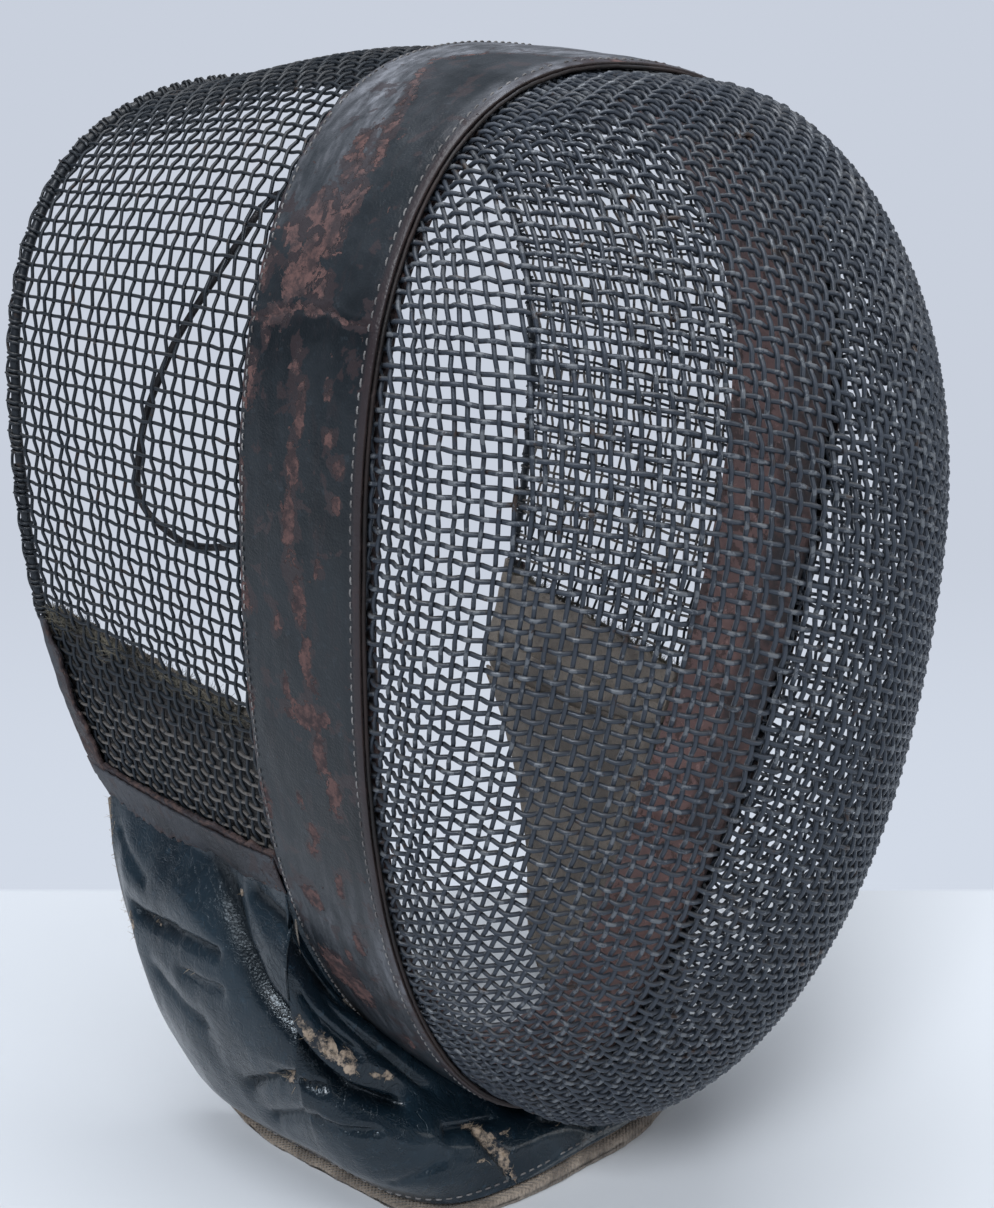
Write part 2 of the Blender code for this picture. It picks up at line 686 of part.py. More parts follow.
def make_bib() -> None:
    """The padded leather bib and the canvas behind it."""
    loft("bib_pad", bib_sections(0.0, lambda fold, down: 0.0, bib_thickness), "pad_leather",
         ring=False)
    loft("bib_backing",
         bib_sections(CANVAS_TOP, lambda fold, down: bib_thickness(fold, down) + CANVAS_GAP + CANVAS,
                      lambda fold, down: bib_thickness(fold, down) + CANVAS_GAP),
         "canvas", ring=False)


def roll_outline(base: Vector, aside: Vector, up: Vector, width: float, height: float) -> list[Vector]:
    """The rolled edge's outline: eight corners, with a flat foot."""
    corners = ((-0.3, 0.0), (0.3, 0.0), (0.5, 0.3), (0.5, 0.7), (0.3, 1.0), (-0.3, 1.0), (-0.5, 0.7),
               (-0.5, 0.3))
    return [base + aside * across * width + up * rise * height for across, rise in corners]


def make_bib_binding() -> None:
    """The rolled canvas edge, down the near rear edge, along the floor and up the far rear edge."""
    sections = []
    layer = bib_thickness(fold_at(1.0), 1.0) + CANVAS_GAP + CANVAS
    for down in spread(0.05, 0.9, 5):
        sections.append(rear_roll(-1, down, layer))
    for along in bib_alongs():
        sections.append(floor_roll(along))
    for down in spread(0.9, 0.05, 5):
        sections.append(rear_roll(1, down, layer))
    loft("bib_binding", sections, "canvas", ring=False)


def rear_roll(side: int, down: float, layer: float) -> list[Vector]:
    """The rolled edge's outline on a rear edge of the bib."""
    middle = bib_point(side, down, layer / 2)
    outward = bib_outward(side, down)
    above, below = (bib_point(side, down + shift, layer / 2) for shift in (-EDGE_SPAN, EDGE_SPAN))
    edge_run = below - above
    rearward = outward.cross(edge_run).normalized() * side
    height = fold_at(side).roll * MM
    base = middle + rearward * (GAP + height)
    return roll_outline(base, outward, -rearward, ROLL_WIDTH, height)


def floor_roll(along: float) -> list[Vector]:
    """The rolled edge's outline under the bib, turned towards the rear where the corner lifts."""
    fold = fold_at(along)
    before = bib_line(max(along - EDGE_SPAN / 2, -1.0))[1]
    after = bib_line(min(along + EDGE_SPAN / 2, 1.0))[1]
    run = after - before
    aside = Vector((run.y, -run.x, 0.0)).normalized()
    side = -1 if along < 0.0 else 1
    turn = smooth(ROLL_TURN_START, 1.0, abs(along)) * ROLL_TURN
    rearward = Vector((run.x, run.y, 0.0)).normalized() * side
    below = Vector((0.0, 0.0, -1.0)) * math.cos(turn) + rearward * math.sin(turn)
    foot = bib_line(along)[1]
    height = fold.roll * MM
    foot.z = (fold.roll + fold.lift) * MM
    base = foot + below * height - aside * ROLL_WIDTH * 0.25
    return roll_outline(base, aside, -below, ROLL_WIDTH, height)


def make_head_strap() -> None:
    """The narrow strap, a loop whose two ends are sewn inside the band on the near side."""
    knots = [under_skin(math.radians(angle), reach, depth * MM) for angle, reach, depth in STRAP_ROUTE]
    spans = len(knots) - 1
    path = bpy.data.curves.new("head_strap", "CURVE")
    path.dimensions = "3D"
    path.bevel_depth = STRAP_RADIUS
    path.bevel_resolution = 2
    path.use_fill_caps = True
    route = path.splines.new("POLY")
    route.points.add(STRAP_POINTS - 1)
    for index, point in enumerate(route.points):
        place = index * spans / (STRAP_POINTS - 1)
        span = min(int(place), spans - 1)
        near = [knots[min(max(span + shift, 0), spans)] for shift in (-1, 0, 1, 2)]
        point.co = (*(catmull(*axis, place - span) for axis in zip(*near)), 1.0)
    path.materials.append(MATERIALS["band_leather"])
    made = bpy.data.objects.new("head_strap", path)
    bpy.context.collection.objects.link(made)


for leftover in list(bpy.data.objects):
    bpy.data.objects.remove(leftover, do_unlink=True)
MATERIALS = {finish_name: make_material(finish_name) for finish_name in FINISHES}
make_front_mesh()
make_side_mesh()
make_band()
make_chin_pad()
make_rear_rim()
make_side_leather(-1, "left")
make_side_leather(1, "right")
make_cheek_linings()
make_bib()
make_bib_binding()
make_head_strap()
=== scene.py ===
"""The looks of an old fencing mask: woven wire, worn leather, felt and canvas over the fixed model.

Metres, +Z up. The mask faces -Y and stands on its bib at z = 0. A place on the mask is named by an
angle round it, 0 at the top of the head and pi at the chin, and by a reach from front to back: 0 at
the band's front edge, 1 at its rear edge and 2 at the hood's rear edge. Depth is measured inwards
from the skin. A place on the bib is named by how far along it lies, -1 at the near rear edge and 1 at
the far one, and by how far down, 0 at its sewn edge and 1 at the floor.
"""
import logging
import math
from dataclasses import astuple, dataclass, field, fields
from enum import Enum
from typing import Callable, Sequence

import bmesh
import bpy
import numpy as np
from mathutils import Matrix, Vector, noise


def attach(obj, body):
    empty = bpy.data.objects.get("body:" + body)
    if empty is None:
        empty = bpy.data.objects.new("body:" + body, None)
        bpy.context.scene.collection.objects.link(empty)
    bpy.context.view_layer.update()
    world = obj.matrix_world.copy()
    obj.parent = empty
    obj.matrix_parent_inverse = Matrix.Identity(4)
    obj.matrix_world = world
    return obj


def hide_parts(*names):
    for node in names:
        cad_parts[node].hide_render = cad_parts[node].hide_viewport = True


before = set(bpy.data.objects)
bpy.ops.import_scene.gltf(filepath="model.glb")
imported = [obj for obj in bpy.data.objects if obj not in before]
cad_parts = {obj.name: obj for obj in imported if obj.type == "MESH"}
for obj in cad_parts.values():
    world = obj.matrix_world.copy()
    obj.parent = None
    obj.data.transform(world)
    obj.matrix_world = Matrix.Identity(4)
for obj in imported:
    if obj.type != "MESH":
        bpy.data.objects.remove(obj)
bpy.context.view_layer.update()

LOG = logging.getLogger("mask")
MM = 0.001
BODY = "root"
TANGENT_STEP = 0.001
SEAM_GAP = 0.00002
MASK_MIDDLE = (0.0, 0.01, 0.19)
NECK_MIDDLE = (0.0, 0.075, 0.09)

Array = np.ndarray
Number = float | np.ndarray
Grid = Callable[[Array, Array], Array]
Colour = tuple[float, float, float]
Mesh, Piece, Material = bpy.types.Mesh, bpy.types.Object, bpy.types.Material
Tree, Node, Socket = bpy.types.NodeTree, bpy.types.Node, bpy.types.NodeSocket
Shape = bmesh.types.BMesh

BLACK: Colour = (0.0, 0.0, 0.0)


class Slot(Enum):
    """The material slots."""
    WIRE = "painted_wire"
    BAND = "band_leather"
    PIPING = "piping_leather"
    LINING = "lining_leather"
    TRIM = "trim_leather"
    FELT = "felt"
    PAD = "pad_leather"
    CANVAS = "canvas"
    STRAP = "strap_leather"


def lerp(start: Number, end: Number, share: Number) -> Number:
    """The value a share of the way from start to end, for numbers and arrays."""
    return start + (end - start) * share


def smooth(low: float, high: float, value: Number) -> Number:
    """A soft step from 0 at low to 1 at high."""
    share = np.clip((value - low) / (high - low), 0.0, 1.0)
    return share * share * (3.0 - 2.0 * share)


def arch(share: Number) -> Number:
    """A low arch: 0 at both ends and 1 in the middle."""
    return 4.0 * share * (1.0 - share)


def bell(distance: Number, width: float) -> Number:
    """A soft bump: 1 at no distance, and fading past the width."""
    return np.exp(-(distance / width) ** 2)


def unit(vectors: Array) -> Array:
    """The same directions, one long."""
    return vectors / np.linalg.norm(vectors, axis=-1, keepdims=True)


def ripple(points: Array, size: float, seed: float, octaves: int = 3) -> Array:
    """Soft random waves over points in space.

    Args:
        points: the places, one row each.
        size: the waves' size in metres.
        seed: a shift that gives another pattern.
        octaves: how many finer layers are added.

    Returns:
        One value for each point, about -1 to 1.
    """
    shift = Vector((seed * 7.3, seed * 3.1, seed * 5.7))
    return np.array([noise.fractal(Vector(point) / size + shift, 1.0, 2.0, octaves)
                     for point in points.reshape(-1, 3)]).reshape(points.shape[:-1])


def segment_distance(u: Array, v: Array, start: tuple, end: tuple) -> Array:
    """How far each point of a plane lies from a segment.

    Args:
        u: the points' first coordinates.
        v: the points' second coordinates.
        start: the segment's first end.
        end: its other end.

    Returns:
        The distances, in the coordinates' own unit.
    """
    run_u = end[0] - start[0]
    run_v = end[1] - start[1]
    length = max(run_u ** 2 + run_v ** 2, 1e-12)
    share = np.clip(((u - start[0]) * run_u + (v - start[1]) * run_v) / length, 0.0, 1.0)
    return np.hypot(u - start[0] - share * run_u, v - start[1] - share * run_v)


def side_by_side(*columns: Number) -> Array:
    """Coordinates joined in rows, where a single number stands for the same one in every row."""
    return np.stack(np.broadcast_arrays(*columns), axis=-1)


def checkers(first: int, second: int) -> Array:
    """1 and -1 by turns over a grid, as wires go over and under each other."""
    return 1.0 - 2.0 * (np.add.outer(np.arange(first), np.arange(second)) % 2)


def glide(knots: Array, values: Array, places: Array) -> Array:
    """Values on a smooth curve through a table's rows.

    Args:
        knots: where the rows lie.
        values: the rows.
        places: where the curve is read.

    Returns:
        One row for each place.
    """
    last = len(knots) - 1
    index = np.clip(np.searchsorted(knots, places) - 1, 0, last - 1)
    share = ((places - knots[index]) / (knots[index + 1] - knots[index]))[..., None]
    square, cube = share ** 2, share ** 3
    before, start = values[np.maximum(index - 1, 0)], values[index]
    end, after = values[index + 1], values[np.minimum(index + 2, last)]
    return ((2 * cube - 3 * square + 1) * start + (cube - 2 * square + share) * (end - before) / 2.0
            + (3 * square - 2 * cube) * end + (cube - square) * (after - start) / 2.0)


@dataclass(frozen=True)
class Ring:
    """An egg-shaped loop across the mask: two half superellipses, bowed back or forward by height."""
    half_width: float
    top: float
    bottom: float
    square_top: float
    square_bottom: float
    setback: float
    lean: float
    bow_above: float
    bow_below: float
    chin_hook: float

    def points(self, angles: Array) -> Array:
        """The loop's points at angles from the top of the head, measured towards +X.

        Args:
            angles: places round the mask.

        Returns:
            The loop's points.
        """
        sine, cosine = np.sin(angles), np.cos(angles)
        upper = cosine >= 0.0
        square = np.where(upper, self.square_top, self.square_bottom)
        x = np.copysign(self.half_width * np.abs(sine) ** (2 / square), sine)
        z = np.where(upper, self.top, -self.bottom) * np.abs(cosine) ** (2 / square)
        bow = np.where(upper, self.bow_above, self.bow_below)
        hook = np.where(upper, 0.0, self.chin_hook)
        return side_by_side(x, self.setback + self.lean * z + bow * z ** 2 + hook * z ** 3, z)


@dataclass(frozen=True)
class MaskShape:
    """The mask's skin, from the sizes that the model is built to."""
    front: Ring = Ring(94.1 * MM, 106.2 * MM, 197.6 * MM, 2.364, 2.004, 0.0, -0.0657, 1.0135, 0.777, 3.255)
    rear: Ring = Ring(105.05 * MM, 106.9 * MM, 180.2 * MM, 2.675, 1.975, 143.95 * MM, -0.0317, 0.499,
                      -0.0698, 0.0)
    place: tuple[float, float, float] = (0.0, -33.2 * MM, 220.0 * MM)
    band_width: float = 41.0 * MM
    band_width_top: float = 48.4 * MM
    band_width_chin: float = 33.6 * MM
    band_flare: float = 1.0484
    flare_top: float = 1.0597
    flare_chin: float = 0.9881
    band_crown: float = 0.7 * MM
    hood_crown: float = 3.5 * MM
    hood_end_at_band: float = math.radians(123.0)
    hood_end_at_rear: float = math.radians(125.2)
    hood_end_sag: float = math.radians(0.8)
    seam_depth: float = 2.4 * MM
    rear_depth: float = 0.75 * MM
    rim_inset: float = 1.5 * MM

    def band_rear(self, angles: Array) -> Array:
        """The band's rear edge, which is wider at the top of the head than under the chin.

        Args:
            angles: places round the mask.

        Returns:
            The edge's points.
        """
        front = self.front.points(angles)
        height = np.cos(angles)
        end_width = np.where(height > 0.0, self.band_width_top, self.band_width_chin)
        width = self.band_width + (end_width - self.band_width) * np.abs(height) ** 3
        stretch = np.where(height > 0.0, self.flare_top, self.flare_chin)
        return side_by_side(front[..., 0] * self.band_flare, front[..., 1] + width, front[..., 2] * stretch)

    def skin(self, angles: Array, reaches: Number) -> Array:
        """The outer surface over the band and the hood, before it is put in its place.

        Args:
            angles: places round the mask.
            reaches: places from front to back.

        Returns:
            The points, in the mask's own coordinates.
        """
        angles, reaches = np.broadcast_arrays(np.asarray(angles, float), np.asarray(reaches, float))
        back = np.maximum(reaches - 1.0, 0.0)
        middle = self.band_rear(angles)
        over_band = lerp(self.front.points(angles), middle, np.minimum(reaches, 1.0)[..., None])
        over_hood = lerp(middle, self.rear.points(angles), back[..., None])
        over_hood[..., 2] += (self.hood_crown * np.maximum(np.cos(angles), 0.0) ** 2
                              * arch(back) * (1.0 - back) * 1.7)
        return np.where((reaches > 1.0)[..., None], over_hood, over_band)

    def inward(self, angles: Array, reaches: Number) -> Array:
        """The unit directions from the skin into the mask.

        Args:
            angles: places round the mask.
            reaches: places from front to back.

        Returns:
            The directions.
        """
        around = self.skin(angles + TANGENT_STEP, reaches) - self.skin(angles - TANGENT_STEP, reaches)
        back = self.skin(angles, reaches + TANGENT_STEP) - self.skin(angles, reaches - TANGENT_STEP)
        return unit(np.cross(back, around))

    def under(self, angles: Array, reaches: Number, depths: Number) -> Array:
        """The points at depths below the skin, in their place.

        Args:
            angles: places round the mask.
            reaches: places from front to back.
            depths: depths below the skin.

        Returns:
            The points.
        """
        angles, reaches, depths = np.broadcast_arrays(np.asarray(angles, float),
                                                      np.asarray(reaches, float), depths)
        return (self.skin(angles, reaches) + self.inward(angles, reaches) * depths[..., None]
                + np.array(self.place))

    def hood_end(self, reaches: Array) -> Array:
        """The angles of the hood's lower edge."""
        back = np.maximum(reaches - 1.0, 0.0)
        return lerp(self.hood_end_at_band, self.hood_end_at_rear, back) + self.hood_end_sag * arch(back)

    def hood_frame(self, side: Number, reaches: Array) -> tuple[Array, Array, Array]:
        """The hood's lower edge.

        Args:
            side: -1 for the near side and 1 for the far one.
            reaches: places from front to back.

        Returns:
            The edge's angles, and the unit directions inwards and down from it.
        """
        angles, ahead = side * self.hood_end(reaches), reaches + 0.05
        run = self.skin(side * self.hood_end(ahead), ahead) - self.skin(angles, reaches)
        inward = self.inward(angles, reaches)
        return angles, inward, unit(np.cross(run, inward)) * -np.asarray(side)[..., None]

    def hood_depth(self, reaches: Array) -> Array:
        """The depth of the hood mesh's outer face, which rises towards the rear."""
        return lerp(self.seam_depth, self.rear_depth, np.maximum(reaches - 1.0, 0.0))

    def rear_reach(self, set_forward: float) -> float:
        """The reach of a line that lies a distance in front of the hood's rear edge."""
        return 2.0 - set_forward / (self.rear.setback - self.band_width)

    def arc(self, curve: Callable[[Array], Array]) -> tuple[Array, Array]:
        """Arc lengths along a loop, measured from the top of the head.

        Args:
            curve: gives the loop's points at angles.

        Returns:
            The angles, and the arc length at each of them.
        """
        angles = np.linspace(-math.pi, math.pi, 4001)
        steps = np.linalg.norm(np.diff(curve(angles), axis=0), axis=1)
        lengths = np.concatenate([[0.0], np.cumsum(steps)])
        return angles, lengths - lengths[len(lengths) // 2]


SHAPE = MaskShape()


@dataclass
class Wiring:
    """Adds and joins the nodes of one shader tree."""
    tree: Tree

    def add(self, kind: str, **settings: object) -> Node:
        """A new node of a kind, with its settings.

        Args:
            kind: the node's type.
            settings: the settings by name.

        Returns:
            The node.
        """
        node = self.tree.nodes.new(kind)
        for name, value in settings.items():
            setattr(node, name, value)
        return node

    def feed(self, socket: Socket, value: object) -> None:
        """Links a socket to another, or sets its value.

        Args:
            socket: the socket that is fed.
            value: another socket, a colour or a number.
        """
        if isinstance(value, Socket):
            self.tree.links.new(value, socket)
        elif isinstance(value, tuple) and len(value) == 3 and socket.type == "RGBA":
            socket.default_value = (*value, 1.0)
        else:
            socket.default_value = value

    def fill(self, node: Node, values: dict[str, object]) -> None:
        """Feeds a node's sockets, each found by its name."""
        for name, value in values.items():
            self.feed(node.inputs[name], value)

    def maths(self, operation: str, first: object, second: object = 0.0) -> Socket:
        """One sum on two values.

        Args:
            operation: what is worked out.
            first: the first value.
            second: the second value.

        Returns:
            The result's socket.
        """
        node = self.add("ShaderNodeMath", operation=operation)
        self.feed(node.inputs[0], first)
        self.feed(node.inputs[1], second)
        return node.outputs[0]

    def noise(self, place: object, scale: object, detail: float = 4.0, roughness: float = 0.55,
              distortion: float = 0.0) -> Socket:
        """Random cloudy values, about one half on average.

        Args:
            place: the coordinates that the pattern is read at.
            scale: how many clouds lie on a metre.
            detail: how many finer layers there are.
            roughness: how strong the finer layers are.
            distortion: how far it is stirred.

        Returns:
            The values' socket.
        """
        node = self.add("ShaderNodeTexNoise")
        self.fill(node, {"Vector": place, "Scale": scale, "Detail": detail, "Roughness": roughness,
                         "Distortion": distortion})
        return node.outputs["Fac"]

    def stretch(self, place: object, factors: tuple[float, float, float]) -> Socket:
        """Coordinates scaled by axis, so that a pattern is drawn out along one of them.

        Args:
            place: the coordinates.
            factors: the scale along each axis.

        Returns:
            The scaled coordinates.
        """
        node = self.add("ShaderNodeMapping")
        self.fill(node, {"Vector": place, "Scale": factors})
        return node.outputs[0]

    def step(self, value: object, low: float, high: float, start: float = 0.0, end: float = 1.0) -> Socket:
        """A soft step between two values.

        Args:
            value: what is read.
            low: where the step starts.
            high: where it ends.
            start: what is given before it.
            end: what is given after it.

        Returns:
            The step's socket.
        """
        node = self.add("ShaderNodeMapRange", interpolation_type="SMOOTHSTEP")
        self.fill(node, {"Value": value, "From Min": low, "From Max": high, "To Min": start, "To Max": end})
        return node.outputs["Result"]

    def blend(self, share: object, first: object, second: object) -> Socket:
        """A mix of two colours.

        Args:
            share: how much of the second there is.
            first: one colour.
            second: the other.

        Returns:
            The mixed colour's socket.
        """
        node = self.add("ShaderNodeMix", data_type="RGBA")
        self.feed(node.inputs[0], share)
        self.feed(node.inputs[6], first)
        self.feed(node.inputs[7], second)
        return node.outputs[2]

    def mask(self, name: str) -> Socket:
        """A mask that was painted on the piece."""
        return self.add("ShaderNodeAttribute", attribute_name=name).outputs["Fac"]

    def bump(self, height: object, distance: float, strength: float = 1.0) -> Socket:
        """A normal from a height.

        Args:
            height: the height's socket.
            distance: what a height of 1 stands for.
            strength: how much of it counts.

        Returns:
            The normal's socket.
        """
        node = self.add("ShaderNodeBump")
        self.fill(node, {"Distance": distance, "Strength": strength, "Height": height})
        return node.outputs["Normal"]

    def use(self, group: Tree, **values: object) -> Socket:
        """A shared effect, placed with its own values.

        Args:
            group: the effect.
            values: what its sockets are fed.

        Returns:
            Its first output.
        """
        node = self.add("ShaderNodeGroup", node_tree=group)
        self.fill(node, values)
        return node.outputs[0]

    def dust(self, place: Socket, amount: float) -> Socket:
        """How much dust lies on what faces up.

        Args:
            place: the coordinates that the pattern is read at.
            amount: how thick the dust is.

        Returns:
            The share's socket.
        """
        facing = self.add("ShaderNodeNewGeometry").outputs["Normal"]
        return self.use(EFFECTS.dust, Vector=place, Normal=facing, Amount=amount)

    def parts(self, vector: Socket) -> dict[str, Socket]:
        """A vector's three parts.

        Args:
            vector: the vector's socket.

        Returns:
            Each part's socket by its name.
        """
        node = self.add("ShaderNodeSeparateXYZ")
        self.feed(node.inputs[0], vector)
        return dict(node.outputs.items())


@dataclass
class Effects:
    """The shader effects that more than one finish uses, each built once."""
    ragged: Tree = field(init=False)
    grain: Tree = field(init=False)
    dust: Tree = field(init=False)
    weave: Tree = field(init=False)

    def __post_init__(self) -> None:
        """Builds every effect."""
        self.ragged = self.make_ragged()
        self.grain = self.make_grain()
        self.dust = self.make_dust()
        self.weave = self.make_weave()

    @staticmethod
    def begin(name: str, inputs: dict[str, str], outputs: Sequence[str]) -> tuple:
        """A new node group with its sockets.

        Args:
            name: the group's name.
            inputs: each input's name and whether it is a "Vector" or a "Float".
            outputs: the names of its outputs, which are all numbers.

        Returns:
            The group, its wiring, and its input and output nodes.
        """
        group = bpy.data.node_groups.new(name, "ShaderNodeTree")
        for label, kind in inputs.items():
            group.interface.new_socket(label, in_out="INPUT", socket_type=f"NodeSocket{kind}")
        for label in outputs:
            group.interface.new_socket(label, in_out="OUTPUT", socket_type="NodeSocketFloat")
        net = Wiring(group)
        return group, net, net.add("NodeGroupInput"), net.add("NodeGroupOutput")

    def make_ragged(self) -> Tree:
        """A painted mask whose soft border becomes a ragged one.

        Returns:
            The effect's node group.
        """
        group, net, given, result = self.begin(
            "ragged", {"Vector": "Vector", "Mask": "Float", "Scale": "Float", "Raggedness": "Float"},
            ("Mask",))
        cloud = net.noise(given.outputs["Vector"], given.outputs["Scale"], 8.0, 0.62, 0.4)
        shift = net.maths("MULTIPLY", net.maths("SUBTRACT", cloud, 0.5), given.outputs["Raggedness"])
        net.feed(result.inputs[0], net.step(net.maths("ADD", given.outputs["Mask"], shift), 0.47, 0.53))
        return group

    def make_grain(self) -> Tree:
        """Leather grain: fine pebbles, soft hollows and thin creases.

        Returns:
            The effect's node group.
        """
        group, net, given, result = self.begin(
            "grain", {"Vector": "Vector", "Scale": "Float", "Creases": "Float"}, ("Height",))
        cells = net.add("ShaderNodeTexVoronoi", feature="F1")
        net.fill(cells, {name: given.outputs[name] for name in ("Vector", "Scale")})
        scale = given.outputs["Scale"]
        hollows = net.noise(given.outputs["Vector"], net.maths("MULTIPLY", scale, 0.22), 5.0)
        ridges = net.noise(given.outputs["Vector"], net.maths("MULTIPLY", scale, 0.12), 5.0, 0.5, 1.2)
        fold = net.maths("ABSOLUTE", net.maths("SUBTRACT", ridges, 0.5))
        crease = net.maths("MULTIPLY", net.step(fold, 0.0, 0.05, -1.0, 0.0), given.outputs["Creases"])
        pebbles = net.maths("MULTIPLY", cells.outputs["Distance"], -0.35)
        net.feed(result.inputs[0], net.maths("ADD", net.maths("ADD", pebbles, hollows), crease))
        return group

    def make_dust(self) -> Tree:
        """Dust on what faces up, in soft patches.

        Returns:
            The effect's node group.
        """
        group, net, given, result = self.begin(
            "dust", {"Vector": "Vector", "Normal": "Vector", "Amount": "Float"}, ("Mask",))
        upward = net.parts(given.outputs["Normal"])["Z"]
        cloud = net.step(net.noise(given.outputs["Vector"], 60.0, 6.0, 0.6), 0.35, 0.7)
        facing = net.maths("MULTIPLY", net.step(upward, 0.1, 1.0), cloud)
        net.feed(result.inputs[0], net.maths("MULTIPLY", facing, given.outputs["Amount"]))
        return group

    def make_weave(self) -> Tree:
        """Cloth threads over and under each other, from coordinates in thread widths.

        Returns:
            The effect's node group.
        """
        group, net, given, result = self.begin("weave", {"Vector": "Vector"}, ("Height",))
        parts = net.parts(given.outputs["Vector"])
        waves = [net.maths("SINE", net.maths("MULTIPLY", parts[axis], math.pi)) for axis in ("X", "Y")]
        over = net.maths("MULTIPLY", waves[0], waves[1])
        fuzz = net.noise(given.outputs["Vector"], 0.8, 4.0, 0.6)
        net.feed(result.inputs[0], net.maths("ADD", over, fuzz))
        return group


EFFECTS = Effects()


def shaded(colour: Colour, factor: float) -> Colour:
    """A colour made lighter or darker."""
    return tuple(channel * factor for channel in colour)


@dataclass(frozen=True)
class Finish:
    """What every finish has: a name, and a material that is started with a shader."""
    name: str

    def begin(self) -> tuple[Material, Wiring, Node, Socket]:
        """Starts the material.

        Returns:
            The material, its wiring, its shader node and the piece's own coordinates.
        """
        material = bpy.data.materials.new(self.name)
        material.use_nodes = True
        net = Wiring(material.node_tree)
        shader = material.node_tree.nodes["Principled BSDF"]
        return material, net, shader, net.add("ShaderNodeTexCoord").outputs["Object"]

    def build(self) -> Material:
        """The finished material."""
        raise NotImplementedError


@dataclass(frozen=True)
class WirePaint(Finish):
    """Old dark paint on wire, worn to grey metal on the crests, with rust specks and dust."""
    paint: Colour = (0.024, 0.030, 0.040)
    worn: Colour = (0.116, 0.128, 0.144)
    rust: Colour = (0.036, 0.024, 0.020)
    dust: Colour = (0.130, 0.125, 0.120)
    wear: float = 0.5
    rust_share: float = 0.60
    dusting: float = 0.5
    roughness: float = 0.42

    def build(self) -> Material:
        """Joins up the finish's nodes.

        Returns:
            The finished material.
        """
        material, net, shader, place = self.begin()
        crest = net.maths("MULTIPLY", net.mask("crest"), self.wear)
        scuffed = net.use(EFFECTS.ragged, Vector=place, Mask=crest, Scale=420.0, Raggedness=1.6)
        rusted = net.step(net.noise(place, 160.0, 6.0, 0.7), self.rust_share, self.rust_share + 0.08)
        tone = net.noise(place, 45.0, 4.0)
        colour = net.blend(tone, self.paint, shaded(self.paint, 1.9))
        colour = net.blend(scuffed, colour, self.worn)
        colour = net.blend(rusted, colour, self.rust)
        net.fill(shader, {
            "Base Color": net.blend(net.dust(place, self.dusting), colour, self.dust),
            "Roughness": net.step(tone, 0.3, 0.7, self.roughness - 0.08, self.roughness + 0.14),
            "Metallic": 0.25, "Specular IOR Level": 0.4,
            "Normal": net.bump(net.noise(place, 900.0, 4.0, 0.6), 0.00012),})
        return material


